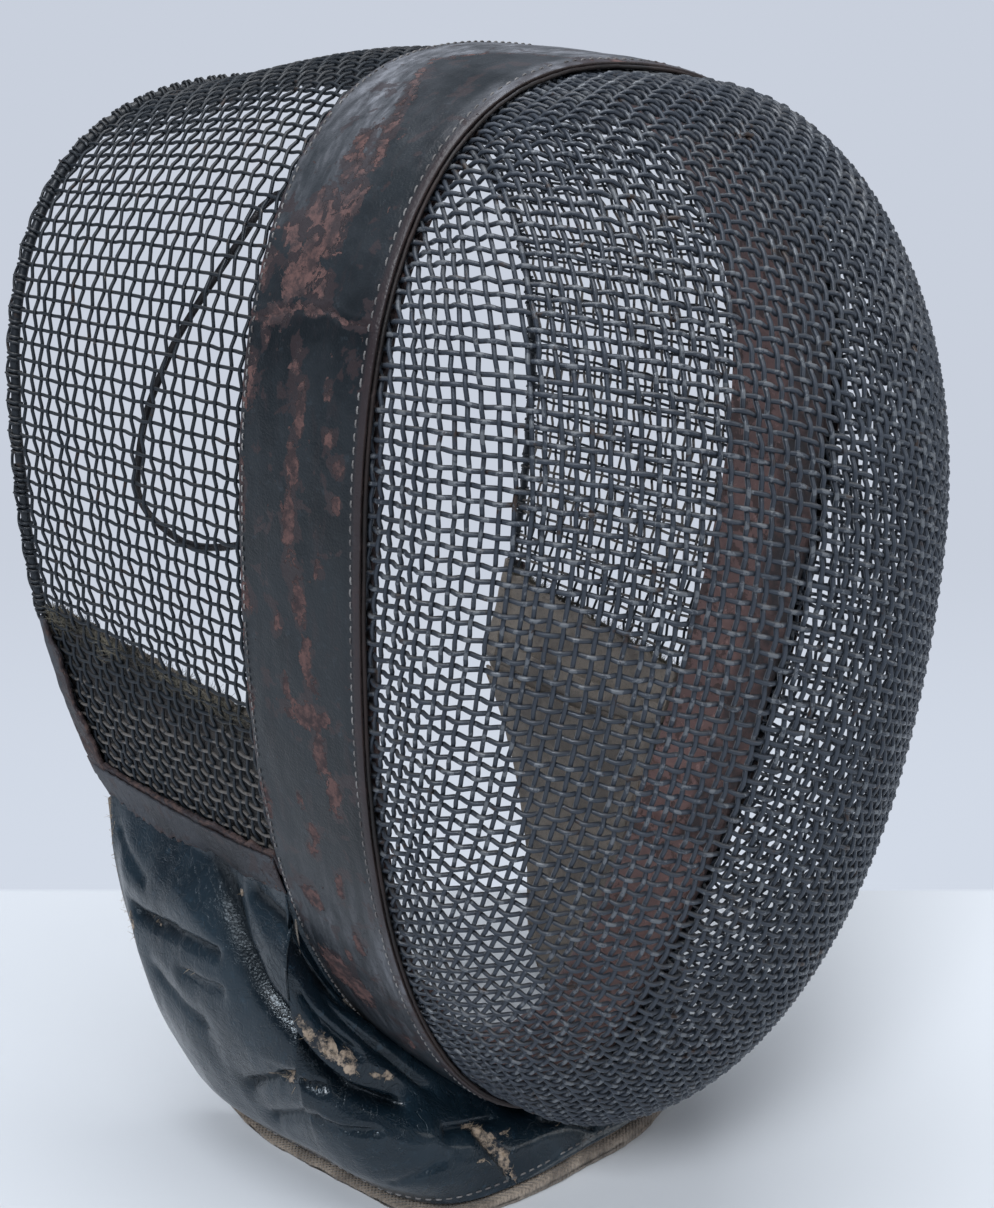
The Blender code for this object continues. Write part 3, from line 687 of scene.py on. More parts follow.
@dataclass(frozen=True)
class Leather(Finish):
    """Dyed leather that wears through to raw brown, with grey scuffs where its masks say so."""
    dark: Colour = (0.006, 0.009, 0.012)
    light: Colour = (0.015, 0.020, 0.025)
    scuffed: Colour = (0.152, 0.160, 0.180)
    raw: Colour = (0.124, 0.068, 0.062)
    deep_raw: Colour = (0.036, 0.025, 0.027)
    wear_scale: float = 330.0
    raggedness: float = 1.9
    halo: float = 0.19
    grain_scale: float = 1500.0
    grain_depth: float = 0.00016
    creases: float = 0.12
    roughness: float = 0.36
    worn_roughness: float = 0.75
    dusting: float = 0.2
    gloss: float = 0.3
    tint: Colour = (1.0, 1.0, 1.0)
    coat: float = 0.0
    coat_roughness: float = 0.2
    streak_depth: float = 0.25
    streak_scale: tuple[float, float, float] = (62.0, 13.0, 1.0)
    masks: tuple[str, ...] = ("wear", "grey", "strip", "streaks")

    def build(self) -> Material:
        """Joins up the finish's nodes.

        Returns:
            The finished material.
        """
        material, net, shader, place = self.begin()
        cloud = net.noise(place, 35.0, 6.0, 0.6, 0.5)
        mottle = net.noise(place, 300.0, 6.0, 0.7)
        colour = net.blend(net.step(cloud, 0.35, 0.65), self.dark, self.light)
        colour = net.blend(net.step(mottle, 0.56, 0.72, 0.0, 0.5), colour, shaded(self.light, 2.4))
        rough = net.step(cloud, 0.3, 0.7, self.roughness - 0.08, self.roughness + 0.12)
        streaks = net.noise(place, 120.0, 5.0, 0.6)
        if "streaks" in self.masks:
            flat = net.add("ShaderNodeTexCoord").outputs["UV"]
            streaks = net.noise(net.stretch(flat, self.streak_scale), 1.0, 6.0, 0.62, 0.3)
            colour = net.blend(net.step(streaks, 0.52, 0.74, 0.0, 0.35), colour, self.deep_raw)
        if "strip" in self.masks:
            colour = net.blend(net.maths("MULTIPLY", net.mask("strip"), 0.7), colour, self.deep_raw)
        if "grey" in self.masks:
            veil = net.maths("MULTIPLY", net.mask("grey"), net.step(streaks, 0.32, 0.62, 0.25, 1.0))
            brushed = net.blend(net.step(streaks, 0.50, 0.72), self.scuffed, shaded(self.scuffed, 1.7))
            brushed = net.blend(net.step(mottle, 0.52, 0.78), brushed, self.deep_raw)
            colour = net.blend(veil, colour, brushed)
        # Painted shade: where the shade mask is high the colour is darkened to painted shade, and the coat
        # is thinned.
        if "shade" in self.masks:
            deep = net.mask("shade")
            colour = net.blend(deep, colour, shaded(self.dark, 0.3))
            sheen = net.maths("MULTIPLY", net.maths("SUBTRACT", 1.0, deep), self.coat)
            net.feed(shader.inputs["Coat Weight"], sheen)
        worn = 0.0
        if "wear" in self.masks:
            mask = net.mask("wear")
            halo = net.maths("ADD", mask, self.halo)
            around = net.use(EFFECTS.ragged, Vector=place, Mask=halo, Scale=self.wear_scale * 0.45,
                             Raggedness=self.raggedness)
            worn = net.use(EFFECTS.ragged, Vector=place, Mask=mask, Scale=self.wear_scale,
                           Raggedness=self.raggedness)
            raw = net.blend(net.step(mottle, 0.36, 0.60), self.raw, self.deep_raw)
            colour = net.blend(net.maths("MULTIPLY", around, 0.7), colour, self.deep_raw)
            colour = net.blend(worn, colour, raw)
            rough = net.maths("MAXIMUM", rough, net.maths("MULTIPLY", worn, self.worn_roughness))
        grain = net.use(EFFECTS.grain, Vector=place, Scale=self.grain_scale, Creases=self.creases)
        height = net.maths("SUBTRACT", grain, net.maths("MULTIPLY", worn, 0.9))
        height = net.maths("ADD", height, net.maths("MULTIPLY", streaks, self.streak_depth))
        net.fill(shader, {
            "Base Color": net.blend(net.dust(place, self.dusting), colour, self.scuffed),
            "Roughness": rough, "Specular IOR Level": self.gloss, "Specular Tint": self.tint,
            "Coat Weight": self.coat, "Coat Roughness": self.coat_roughness,
            "Normal": net.bump(height, self.grain_depth),})
        return material


@dataclass(frozen=True)
class Cloth(Finish):
    """Woven or felted cloth, soiled in patches."""
    clean: Colour = (0.300, 0.235, 0.180)
    soiled: Colour = (0.120, 0.090, 0.070)
    threads: float = 1300.0
    felted: bool = False
    depth: float = 0.0003

    def build(self) -> Material:
        """Joins up the finish's nodes.

        Returns:
            The finished material.
        """
        material, net, shader, place = self.begin()
        cloud = net.noise(place, 55.0, 7.0, 0.65, 0.6)
        fibres = net.noise(place, self.threads * 0.5, 6.0, 0.75, 1.0)
        colour = net.blend(net.step(cloud, 0.38, 0.66), self.clean, self.soiled)
        colour = net.blend(net.step(fibres, 0.45, 0.75, 0.0, 0.7), colour, shaded(self.soiled, 0.55))
        height = fibres
        if not self.felted:
            weave = net.use(EFFECTS.weave, Vector=net.stretch(place, (self.threads,) * 3))
            height = net.maths("ADD", weave, fibres)
        net.fill(shader, {"Base Color": colour, "Roughness": 0.92, "Sheen Weight": 0.15,
                          "Normal": net.bump(height, self.depth)})
        return material


@dataclass(frozen=True)
class Thread(Finish):
    """Sewing thread or loose fibres, soiled unevenly."""
    clean: Colour = (0.340, 0.330, 0.320)
    soiled: Colour = (0.080, 0.075, 0.075)
    soil: float = 0.5

    def build(self) -> Material:
        """Joins up the finish's nodes.

        Returns:
            The finished material.
        """
        material, net, shader, place = self.begin()
        cloud = net.noise(place, 70.0, 6.0, 0.7)
        colour = net.blend(net.step(cloud, self.soil - 0.15, self.soil + 0.2), self.soiled, self.clean)
        twist = net.bump(net.noise(place, 1800.0, 3.0), 0.0001)
        net.fill(shader, {"Base Color": colour, "Roughness": 0.85, "Normal": twist})
        return material


@dataclass(frozen=True)
class Tabletop(Finish):
    """The pale floor; past a straight line behind the mask it is as even and bright as the sky."""
    near: Colour = (0.655, 0.686, 0.725)
    far: Colour = (0.645, 0.701, 0.799)
    farthest: Colour = (0.584, 0.631, 0.723)
    line_place: tuple[float, float] = (0.1046, 0.1293)
    line_facing: tuple[float, float] = (0.6937, 0.7203)
    fade: float = 0.6
    even_from: tuple[float, float] = (0.9, 2.6)

    def build(self) -> Material:
        """Joins up the finish's nodes.

        Returns:
            The finished material.
        """
        material, net, shader, place = self.begin()
        parts = net.parts(place)
        past = net.maths("ADD", net.maths("MULTIPLY", parts["X"], self.line_facing[0]),
                         net.maths("MULTIPLY", parts["Y"], self.line_facing[1]))
        line = self.line_place[0] * self.line_facing[0] + self.line_place[1] * self.line_facing[1]
        ring = net.add("ShaderNodeVectorMath", operation="LENGTH")
        net.feed(ring.inputs[0], place)
        outlying = net.step(ring.outputs["Value"], *self.even_from)
        beyond = net.maths("MAXIMUM", net.step(past, line - 0.002, line + 0.002), outlying)
        near = net.blend(net.noise(place, 6.0, 3.0), self.near, shaded(self.near, 0.97))
        away = net.maths("MAXIMUM", net.step(past, line, line + self.fade), outlying)
        glow = net.blend(away, self.far, self.farthest)
        net.fill(shader, {
            "Base Color": net.blend(beyond, near, BLACK), "Emission Color": net.blend(beyond, BLACK, glow),
            "Emission Strength": 1.0, "Specular IOR Level": 0.0, "Roughness": 1.0,})
        return material


WIRE = WirePaint("guard_paint").build()
HOOD_WIRE = WirePaint("hood_paint", wear=0.62, roughness=0.46, paint=(0.012, 0.016, 0.021),
                      worn=(0.140, 0.130, 0.122)).build()
RIM_WIRE = WirePaint("rim_paint", wear=0.25, paint=(0.010, 0.013, 0.017)).build()
BAND_LEATHER = Leather("band_leather_worn").build()
BAND_EDGE = Leather("band_cut_edge", dark=(0.022, 0.017, 0.017), light=(0.052, 0.038, 0.037),
                    masks=()).build()
PIPING_LEATHER = Leather("piping_leather_worn", dark=(0.006, 0.005, 0.005), light=(0.022, 0.014, 0.013),
                         masks=(), roughness=0.55).build()
LINING_LEATHER = Leather("lining_leather_worn", dark=(0.168, 0.104, 0.098), light=(0.250, 0.156, 0.145),
                         scuffed=(0.032, 0.034, 0.038), deep_raw=(0.048, 0.036, 0.035),
                         raw=(0.190, 0.115, 0.098), roughness=0.6, masks=("wear", "grey"),
                         dusting=0.0).build()
TRIM_LEATHER = Leather("trim_leather_worn", dark=(0.016, 0.017, 0.021), light=(0.050, 0.054, 0.064),
                       raw=(0.100, 0.064, 0.056), wear_scale=420.0, roughness=0.5, creases=0.4,
                       grain_depth=0.00024, masks=("wear",)).build()
PAD_LEATHER = Leather("bib_leather_gloss", dark=(0.0036, 0.0092, 0.0150), light=(0.0085, 0.0185, 0.0280),
                      scuffed=(0.032, 0.046, 0.064), raw=(0.420, 0.330, 0.250),
                      deep_raw=(0.014, 0.018, 0.024), raggedness=1.5, halo=0.0,
                      grain_scale=1300.0, grain_depth=0.00022, creases=0.5, roughness=0.26,
                      worn_roughness=0.95, gloss=0.31, tint=(0.80, 0.91, 1.0), coat=0.30,
                      coat_roughness=0.12, dusting=0.0, masks=("wear", "grey", "shade")).build()
STRAP_LEATHER = Leather("strap_leather_dark", dark=(0.012, 0.012, 0.014), light=(0.034, 0.032, 0.034),
                        masks=()).build()
CANVAS = Cloth("tan_canvas", clean=(0.330, 0.275, 0.225), soiled=(0.130, 0.108, 0.090)).build()
FELT_INNER = Cloth("felt_grey_olive", clean=(0.280, 0.244, 0.206), soiled=(0.158, 0.138, 0.120),
                   threads=2200.0, felted=True).build()
FELT_OUTER = Cloth("felt_blackened", clean=(0.008, 0.009, 0.011), soiled=(0.036, 0.029, 0.028),
                   threads=2200.0, felted=True).build()
PALE_THREAD = Thread("stitch_thread", clean=(0.230, 0.225, 0.225), soiled=(0.060, 0.055, 0.056),
                     soil=0.47).build()
TAN_FIBRE = Thread("tan_fibre", clean=(0.380, 0.300, 0.210), soiled=(0.200, 0.150, 0.100), soil=0.4).build()
OLIVE_FIBRE = Thread("olive_fibre", clean=(0.210, 0.192, 0.145), soiled=(0.040, 0.038, 0.032)).build()


def put_in_scene(name: str, data: bpy.types.ID) -> Piece:
    """A new object of the scene, at the origin.

    Args:
        name: its name.
        data: its mesh, curve, light or camera.

    Returns:
        The object.
    """
    made = bpy.data.objects.new(name, data)
    bpy.context.collection.objects.link(made)
    return made


def add_object(name: str, mesh: Mesh, materials: Sequence[Material]) -> Piece:
    """Makes a mesh an object of its own, shaded smooth.

    Args:
        name: its name.
        mesh: the mesh, which is changed.
        materials: its materials, slot by slot.

    Returns:
        The object.
    """
    for material in materials:
        mesh.materials.append(material)
    mesh.shade_smooth()
    return put_in_scene(name, mesh)


def hand_over(piece: Piece, slot: Slot, *nodes: str) -> Piece:
    """Lets a piece ride on the body, hides the nodes that it stands for, and reports it.

    Args:
        piece: the finished piece.
        slot: its material slot; not used.
        nodes: the CAD nodes that it stands for.

    Returns:
        The same piece.
    """
    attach(piece, BODY)
    if nodes:
        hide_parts(*nodes)
    LOG.info("%s made for %s", piece.name, ", ".join(nodes) or "the surface")
    return piece


def coordinates(mesh: Mesh) -> Array:
    """The places of a mesh's vertices, one row each.

    Args:
        mesh: the mesh.

    Returns:
        The places.
    """
    flat = np.empty(len(mesh.vertices) * 3)
    mesh.vertices.foreach_get("co", flat)
    return flat.reshape(-1, 3)


def paint(mesh: Mesh, name: str, values: Array) -> None:
    """Stores one number for each vertex, for the shader to read."""
    layer = mesh.attributes.new(name, "FLOAT", "POINT")
    layer.data.foreach_set("value", np.ascontiguousarray(values, dtype=np.float32))


def begin_grid(across: int, down: int) -> Shape:
    """A flat square grid, one unit wide, with its UV map.

    Args:
        across: how many faces it has along its first direction.
        down: how many faces it has along its second direction.

    Returns:
        The grid.
    """
    shape = bmesh.new()
    shape.loops.layers.uv.new("UVMap")
    bmesh.ops.create_grid(shape, x_segments=across, y_segments=down, size=0.5, calc_uvs=True)
    return shape


def settle(shape: Shape, target: Mesh | str) -> Mesh:
    """Writes a shape to a mesh and frees it.

    Args:
        shape: the shape.
        target: the mesh, or the name of a new one.

    Returns:
        The mesh.
    """
    mesh = bpy.data.meshes.new(target) if isinstance(target, str) else target
    shape.to_mesh(mesh)
    shape.free()
    return mesh


def mend(mesh: Mesh, weld: bool = False, cap: bool = False, outwards: bool = True) -> None:
    """Closes a mesh's seams and ends, and turns its faces outwards.

    Args:
        mesh: the mesh, which is changed.
        weld: whether rim corners on each other are joined.
        cap: whether open ends are filled.
        outwards: whether the faces are turned out.
    """
    shape = bmesh.new()
    shape.from_mesh(mesh)
    if weld:
        rim = [vertex for vertex in shape.verts if vertex.is_boundary]
        bmesh.ops.remove_doubles(shape, verts=rim, dist=SEAM_GAP)
    if cap:
        bmesh.ops.holes_fill(shape, edges=[edge for edge in shape.edges if edge.is_boundary], sides=0)
    if outwards:
        bmesh.ops.recalc_face_normals(shape, faces=shape.faces)
    settle(shape, mesh)


def lay_sheet(name: str, across: int, down: int, place: Grid, materials: Sequence[Material],
              masks: dict[str, Grid] | None = None, joined: bool = False,
              middle: tuple[float, float, float] = MASK_MIDDLE) -> Piece:
    """Lays a grid over a surface, facing away from a middle point.

    Args:
        name: the piece's name.
        across: how many faces it has along its first direction.
        down: how many faces it has along its second direction.
        place: gives the points in space from two arrays of shares.
        materials: its materials.
        masks: what is painted on it, each from the same two arrays.
        joined: whether its two ends along the first direction meet.
        middle: the point that its faces look away from.

    Returns:
        The object, one face thick.
    """
    shape = begin_grid(across, down)
    mesh = settle(shape, name)
    flat = coordinates(mesh) + 0.5
    for label, mask in (masks or {}).items():
        paint(mesh, label, mask(flat[:, 0], flat[:, 1]))
    spots = place(flat[:, 0], flat[:, 1])
    mesh.vertices.foreach_set("co", spots.ravel())
    mesh.update()
    if joined:
        mend(mesh, weld=True, outwards=False)
    normals = np.empty(len(mesh.polygons) * 3)
    centres = np.empty(len(mesh.polygons) * 3)
    mesh.polygons.foreach_get("normal", normals)
    mesh.polygons.foreach_get("center", centres)
    outward = centres.reshape(-1, 3) - np.array(middle)
    if np.sum(normals.reshape(-1, 3) * outward) < 0.0:
        mesh.flip_normals()
    return add_object(name, mesh, materials)


def thicken(piece: Piece, thickness: float, edge_slot: int = 0, inner_slot: int = 0,
            rounding: float = 0.0) -> None:
    """Gives a sheet its wall, laid inwards.

    Args:
        piece: the sheet.
        thickness: the wall's thickness.
        edge_slot: how far the cut edge's material is from the face's.
        inner_slot: how far the inner face's material is from the face's.
        rounding: how far the edges are rounded.
    """
    wall = piece.modifiers.new("wall", "SOLIDIFY")
    wall.thickness = thickness
    wall.offset = -1.0
    wall.material_offset_rim = edge_slot
    wall.material_offset = inner_slot
    if rounding > 0.0:
        edge = piece.modifiers.new("edge", "BEVEL")
        edge.width = rounding
        edge.segments = 2
        edge.limit_method = "ANGLE"
        edge.angle_limit = math.radians(55.0)


def lay_pad(name: str, across: int, down: int, outer: Grid, inner: Grid,
            materials: Sequence[Material], masks: dict[str, Grid]) -> Piece:
    """Makes a closed pad between an outer and an inner face.

    Args:
        name: the piece's name.
        across: how many faces each side has along its first direction.
        down: how many faces each side has along its second direction.
        outer: gives the outer face's points from two arrays of shares.
        inner: gives the inner face's points.
        materials: the outer face's material, and the inner face's last.
        masks: what is painted on it.

    Returns:
        The object.
    """
    shape = begin_grid(across, down)
    made = bmesh.ops.duplicate(shape, geom=shape.verts[:] + shape.edges[:] + shape.faces[:])
    copied = [part for part in made["geom"] if isinstance(part, bmesh.types.BMVert)]
    bmesh.ops.translate(shape, verts=copied, vec=(0.0, 0.0, -0.01))
    bmesh.ops.bridge_loops(shape, edges=[edge for edge in shape.edges if edge.is_boundary])
    mesh = settle(shape, name)
    u, v = (coordinates(mesh)[:, :2] + 0.5).T
    for label, mask in masks.items():
        paint(mesh, label, mask(u, v))
    half = len(u) // 2
    spots = np.concatenate([outer(u[:half], v[:half]), inner(u[half:], v[half:])])
    mesh.vertices.foreach_set("co", spots.ravel())
    mend(mesh)
    for face in mesh.polygons[across * down:2 * across * down]:
        face.material_index = len(materials) - 1
    return add_object(name, mesh, materials)


def begin_curve(name: str, radius: float, resolution: int) -> bpy.types.Curve:
    """Starts a round curve with capped ends.

    Args:
        name: its name.
        radius: its radius.
        resolution: 1 gives six sides, and 0 gives four.

    Returns:
        The curve, with no line in it yet.
    """
    curve = bpy.data.curves.new(name, "CURVE")
    curve.dimensions = "3D"
    curve.bevel_depth = radius
    curve.bevel_resolution = resolution
    curve.use_fill_caps = True
    return curve


def add_line(curve: bpy.types.Curve, points: Array) -> bpy.types.Spline:
    """Adds straight lines through points to a curve.

    Args:
        curve: the curve, which is changed.
        points: the points.

    Returns:
        The line.
    """
    spline = curve.splines.new("POLY")
    spline.points.add(len(points) - 1)
    spline.points.foreach_set("co", np.column_stack([points, np.ones(len(points))]).ravel())
    return spline


@dataclass
class Strand:
    """One wire, thread or fibre: its points, and what is known at each of them."""
    points: Array
    crest: Array | None = None
    girth: Array | None = None
    closed: bool = False


FIBRE_TAPER = np.array((1.0, 1.0, 0.8, 0.4))


def draw_strands(name: str, strands: Sequence[Strand], radius: float, material: Material,
                 resolution: int = 1) -> Piece:
    """Makes round wires along strands, joined in one mesh.

    Args:
        name: the piece's name.
        strands: the wires' routes.
        radius: the wires' radius.
        material: their finish.
        resolution: 1 gives six sides, and 0 gives four.

    Returns:
        The object, with the crest mask painted on it.
    """
    curve = begin_curve(name + "_route", radius, resolution)
    crests = []
    for strand in strands:
        spline = add_line(curve, strand.points)
        if strand.girth is not None:
            spline.points.foreach_set("radius", strand.girth)
        spline.use_cyclic_u = strand.closed
        crests.append(np.zeros(len(strand.points)) if strand.crest is None else strand.crest)
    carrier = bpy.data.objects.new(name + "_route", curve)
    mesh = bpy.data.meshes.new_from_object(carrier)
    mesh.name = name
    bpy.data.objects.remove(carrier)
    sides = 4 + 2 * resolution
    painted = np.repeat(np.concatenate(crests), sides)
    paint(mesh, "crest", np.resize(painted, len(mesh.vertices)))
    mesh.materials.clear()
    return add_object(name, mesh, [material])


def weave_strand(nodes: Array, normals: Array, lifts: Array, shoulder: float) -> Strand:
    """Lets one wire go over and under the wires that cross it.

    Args:
        nodes: the crossings in order, on the cloth's middle face.
        normals: the cloth's outward directions there.
        lifts: how far it passes outside the middle face, or inside it where below zero.
        shoulder: how far to each side of a crossing it stays out, as a share of a cell.

    Returns:
        The wire, with two points to each crossing.
    """
    lifted = nodes + normals * lifts[:, None]
    ahead = np.vstack([nodes[1:] - nodes[:-1], nodes[-1:] - nodes[-2:-1]]) * shoulder
    behind = np.vstack([nodes[1:2] - nodes[:1], nodes[1:] - nodes[:-1]]) * shoulder
    points = np.stack([lifted - behind, lifted + ahead], axis=1).reshape(-1, 3)
    return Strand(points, crest=np.repeat(lifts > 0.0, 2).astype(float))


def fibre(root: Array, way: Array, length: float, bend: Array) -> Strand:
    """One loose fibre, which bends more and thins towards its tip.

    Args:
        root: where it starts.
        way: the direction that it starts in.
        length: its length.
        bend: how far its tip is bent aside, as shares of its length.

    Returns:
        The fibre.
    """
    shares = np.linspace(0.0, 1.0, len(FIBRE_TAPER))[:, None]
    return Strand(root + way * shares * length + bend * shares ** 2 * length, girth=FIBRE_TAPER)


@dataclass
class PressedCloth:
    """A flat cloth of square cells, pressed over the dome of the face.

    The cells keep their sides, and only their corners open and close, as in any cloth that is pressed
    over a dome. The cloth is laid from a first row and a first column through the middle of the face,
    one corner at a time. Lengths here are in millimetres, in the mask's own coordinates.
    """
    cell_across: float = 3.4143
    cell_down: float = 3.4902
    row_slopes: tuple[float, float, float] = (-0.3657, -0.0919, 0.0411)
    column_slopes: tuple[float, float, float] = (0.1011, 0.0428, 0.0113)
    dome_reach: float = -80.8
    eye_height: float = -22.5
    square_side: float = 1.662
    square_top: float = 1.803
    square_chin: float = 1.855
    seam_rise: tuple[float, float] = (math.radians(4.0), math.radians(17.0))
    columns: int = 70
    rows: int = 110
    steep_share: float = 0.992
    outer_share: float = 1.03
    walk_rounds: int = 6
    corner_rounds: int = 7
    most_error: float = 0.05
    angles: Array = field(init=False)
    around: Array = field(init=False)
    edge_radius: Array = field(init=False)
    edge_setback: Array = field(init=False)
    square: Array = field(init=False)

    def __post_init__(self) -> None:
        """Prepares the tables of the dome's edge."""
        self.angles = np.linspace(-math.pi, math.pi, 7201)
        edge = SHAPE.front.points(self.angles) / MM
        around = np.unwrap(np.arctan2(edge[:, 0], edge[:, 2] - self.eye_height))
        self.around = around - around[len(around) // 2]
        self.edge_radius = np.hypot(edge[:, 0], edge[:, 2] - self.eye_height)
        self.edge_setback = edge[:, 1]
        end_square = np.where(np.cos(self.angles) > 0.0, self.square_top, self.square_chin)
        self.square = (self.square_side * np.sin(self.angles) ** 2 + end_square * np.cos(self.angles) ** 2)

    def forward_share(self, share: Array, square: Array) -> Array:
        """How far forward the dome is, from how far out a point lies; past its steepest part it runs on.

        Args:
            share: how far out the points lie, 1 at the edge.
            square: how square the dome is there.

        Returns:
            1 at the dome's front and 0 at its edge.
        """
        def exact(value: Array) -> Array:
            """The dome's own rule."""
            out = np.clip(value, 0.0, 1.0) ** (square / 2)
            return np.sqrt(np.clip(1.0 - out * out, 0.0, 1.0)) ** (2 / square)
        limit = np.full_like(share, self.steep_share)
        step = 0.004
        slope = (exact(limit) - exact(limit - step)) / step
        return np.where(share <= limit, exact(np.minimum(share, limit)),
                        exact(limit) + slope * (share - limit))

    def measure(self, x: Array, z: Array) -> tuple[Array, ...]:
        """What lies behind a point of the mask's front view.

        Args:
            x: sideways places.
            z: heights.

        Returns:
            The ring angle, the share of the way to the edge, how far forward, and the dome's y.
        """
        turn = np.arctan2(x, z - self.eye_height)
        angle = np.interp(turn, self.around, self.angles)
        share = np.hypot(x, z - self.eye_height) / np.interp(turn, self.around, self.edge_radius)
        forward = self.forward_share(share, np.interp(turn, self.around, self.square))
        setback = np.interp(turn, self.around, self.edge_setback)
        return angle, share, forward, setback + (self.dome_reach - setback) * forward

    def height(self, x: Array, z: Array) -> tuple[Array, Array]:
        """The dome's y and the share of the way to its edge."""
        _, share, _, y = self.measure(x, z)
        return y, share

    def walk(self, sideways: bool, sign: int, count: int) -> list[tuple[float, float]]:
        """Lays the first row or column from the middle outwards, one cell at a time.

        Args:
            sideways: whether it is the first row.
            sign: 1 towards +X or up, -1 the other way.
            count: the most cells that it may have.

        Returns:
            The places of its corners.
        """
        x, z = 0.0, self.eye_height
        slopes = self.row_slopes if sideways else self.column_slopes
        cell = self.cell_across if sideways else self.cell_down
        places = []
        for _ in range(count):
            before = float(self.height(np.array([x]), np.array([z]))[0][0])
            place = (x if sideways else z - self.eye_height) / 100.0
            slope = slopes[0] + 2 * slopes[1] * place + 3 * slopes[2] * place * place
            way = np.array([1.0, slope] if sideways else [slope, 1.0]) / math.hypot(1.0, slope) * sign
            step = cell
            for _ in range(self.walk_rounds):
                y, share = self.height(np.array([x + way[0] * step]), np.array([z + way[1] * step]))
                step *= cell / math.hypot(step, float(y[0]) - before)
            x, z = x + way[0] * step, z + way[1] * step
            places.append((x, z))
            if share[0] > self.outer_share:
                break
        return places

    def lattice(self) -> Array:
        """The corners of every cell, seen from the front.

        Returns:
            An array of columns by rows by (x, z), with no number where there is no cloth.
        """
        n, m = self.columns, self.rows
        grid = np.full((2 * n + 1, 2 * m + 1, 3), np.nan)
        grid[n, m] = (0.0, self.height(np.zeros(1), np.array([self.eye_height]))[0][0], self.eye_height)
        for sign in (1, -1):
            for index, (x, z) in enumerate(self.walk(True, sign, n), 1):
                grid[n + sign * index, m] = (x, self.height(np.array([x]), np.array([z]))[0][0], z)
            for index, (x, z) in enumerate(self.walk(False, sign, m), 1):
                grid[n, m + sign * index] = (x, self.height(np.array([x]), np.array([z]))[0][0], z)
        for side in (1, -1):
            for rise in (1, -1):
                for total in range(2, n + m + 1):
                    self.fill_diagonal(grid, side, rise, total)
        return grid[..., [0, 2]]

    def fill_diagonal(self, grid: Array, side: int, rise: int, total: int) -> None:
        """Finds the corners on one diagonal of a quarter, each a cell away from its two neighbours.

        Args:
            grid: the corners found so far, which it adds to.
            side: the quarter's side.
            rise: 1 for an upper quarter and -1 for a lower one.
            total: the diagonal's number.
        """
        n, m = self.columns, self.rows
        steps = np.arange(max(1, total - m), min(n, total - 1) + 1)
        i, j = n + side * steps, m + rise * (total - steps)
        before_i, before_j = i - side, j - rise
        known = np.isfinite(grid[before_i, j, 0]) & np.isfinite(grid[i, before_j, 0])
        known &= np.isfinite(grid[before_i, before_j, 0])
        if not known.any():
            return
        i, j, before_i, before_j = i[known], j[known], before_i[known], before_j[known]
        row_mate, column_mate = grid[before_i, j], grid[i, before_j]
        x, _, z = (row_mate + column_mate - grid[before_i, before_j]).T
        nudge = 1e-3
        for _ in range(self.corner_rounds):
            y, _ = self.height(x, z)
            slope_x = (self.height(x + nudge, z)[0] - y) / nudge
            slope_z = (self.height(x, z + nudge)[0] - y) / nudge
            spot = side_by_side(x, y, z)
            row_gap, column_gap = spot - row_mate, spot - column_mate
            row_error = np.sum(row_gap ** 2, axis=-1) - self.cell_across ** 2
            column_error = np.sum(column_gap ** 2, axis=-1) - self.cell_down ** 2
            a = 2 * (row_gap[:, 0] + row_gap[:, 1] * slope_x)
            b = 2 * (row_gap[:, 2] + row_gap[:, 1] * slope_z)
            c = 2 * (column_gap[:, 0] + column_gap[:, 1] * slope_x)
            d = 2 * (column_gap[:, 2] + column_gap[:, 1] * slope_z)
            area = a * d - b * c
            area = np.where(np.abs(area) < 1e-9, 1e-9, area)
            step_x = (row_error * d - column_error * b) / area
            step_z = (a * column_error - c * row_error) / area
            limit = np.maximum(np.hypot(step_x, step_z) / 2.0, 1.0)
            x, z = x - step_x / limit, z - step_z / limit
        y, share = self.height(x, z)
        wrong = np.maximum(np.abs(row_error), np.abs(column_error))
        good = (wrong < self.most_error) & (share < self.outer_share)
        grid[i, j] = np.where(good[:, None], side_by_side(x, y, z), np.nan)

    def outer_face(self, x: Array, z: Array) -> Array:
        """The guard's outer face in its place, in metres; past the edge it runs on under the band.

        Args:
            x: sideways places.
            z: heights.

        Returns:
            The points in space.
        """
        angle, _, forward, _ = self.measure(x, z)
        square = np.interp(angle, self.angles, self.square)
        climb = np.arcsin(np.clip(forward, 0.0, 1.0) ** (square / 2))
        out = np.cos(climb) ** (2 / square)
        edge = SHAPE.front.points(angle)
        reach_y, centre_z = self.dome_reach * MM, self.eye_height * MM
        points = side_by_side(edge[..., 0] * out, lerp(edge[..., 1], reach_y, np.maximum(forward, 0.0)),
                              lerp(centre_z, edge[..., 2], out))
        seam = SHAPE.seam_depth * (1.0 - smooth(*self.seam_rise, climb))
        points += SHAPE.inward(angle, 0.0) * seam[..., None] + np.array(SHAPE.place)
        behind = np.maximum(-forward, 0.0) * (edge[..., 1] - reach_y) / SHAPE.band_width
        lapped = SHAPE.under(angle, behind, SHAPE.seam_depth)
        return np.where((forward > 0.0)[..., None], points, lapped)

    def outward(self, x: Array, z: Array) -> Array:
        """The unit directions out of the guard's face.

        Args:
            x: sideways places.
            z: heights.

        Returns:
            The directions.
        """
        nudge = 0.02
        here = self.outer_face(x, z)
        sideways = self.outer_face(x + nudge, z) - here
        upwards = self.outer_face(x, z + nudge) - here
        normals = unit(np.cross(sideways, upwards))
        middle = np.array(SHAPE.place) + np.array((0.0, 0.02, -0.03))
        flipped = np.sum(normals * (here - middle), axis=-1) < 0.0
        return np.where(flipped[..., None], -normals, normals)


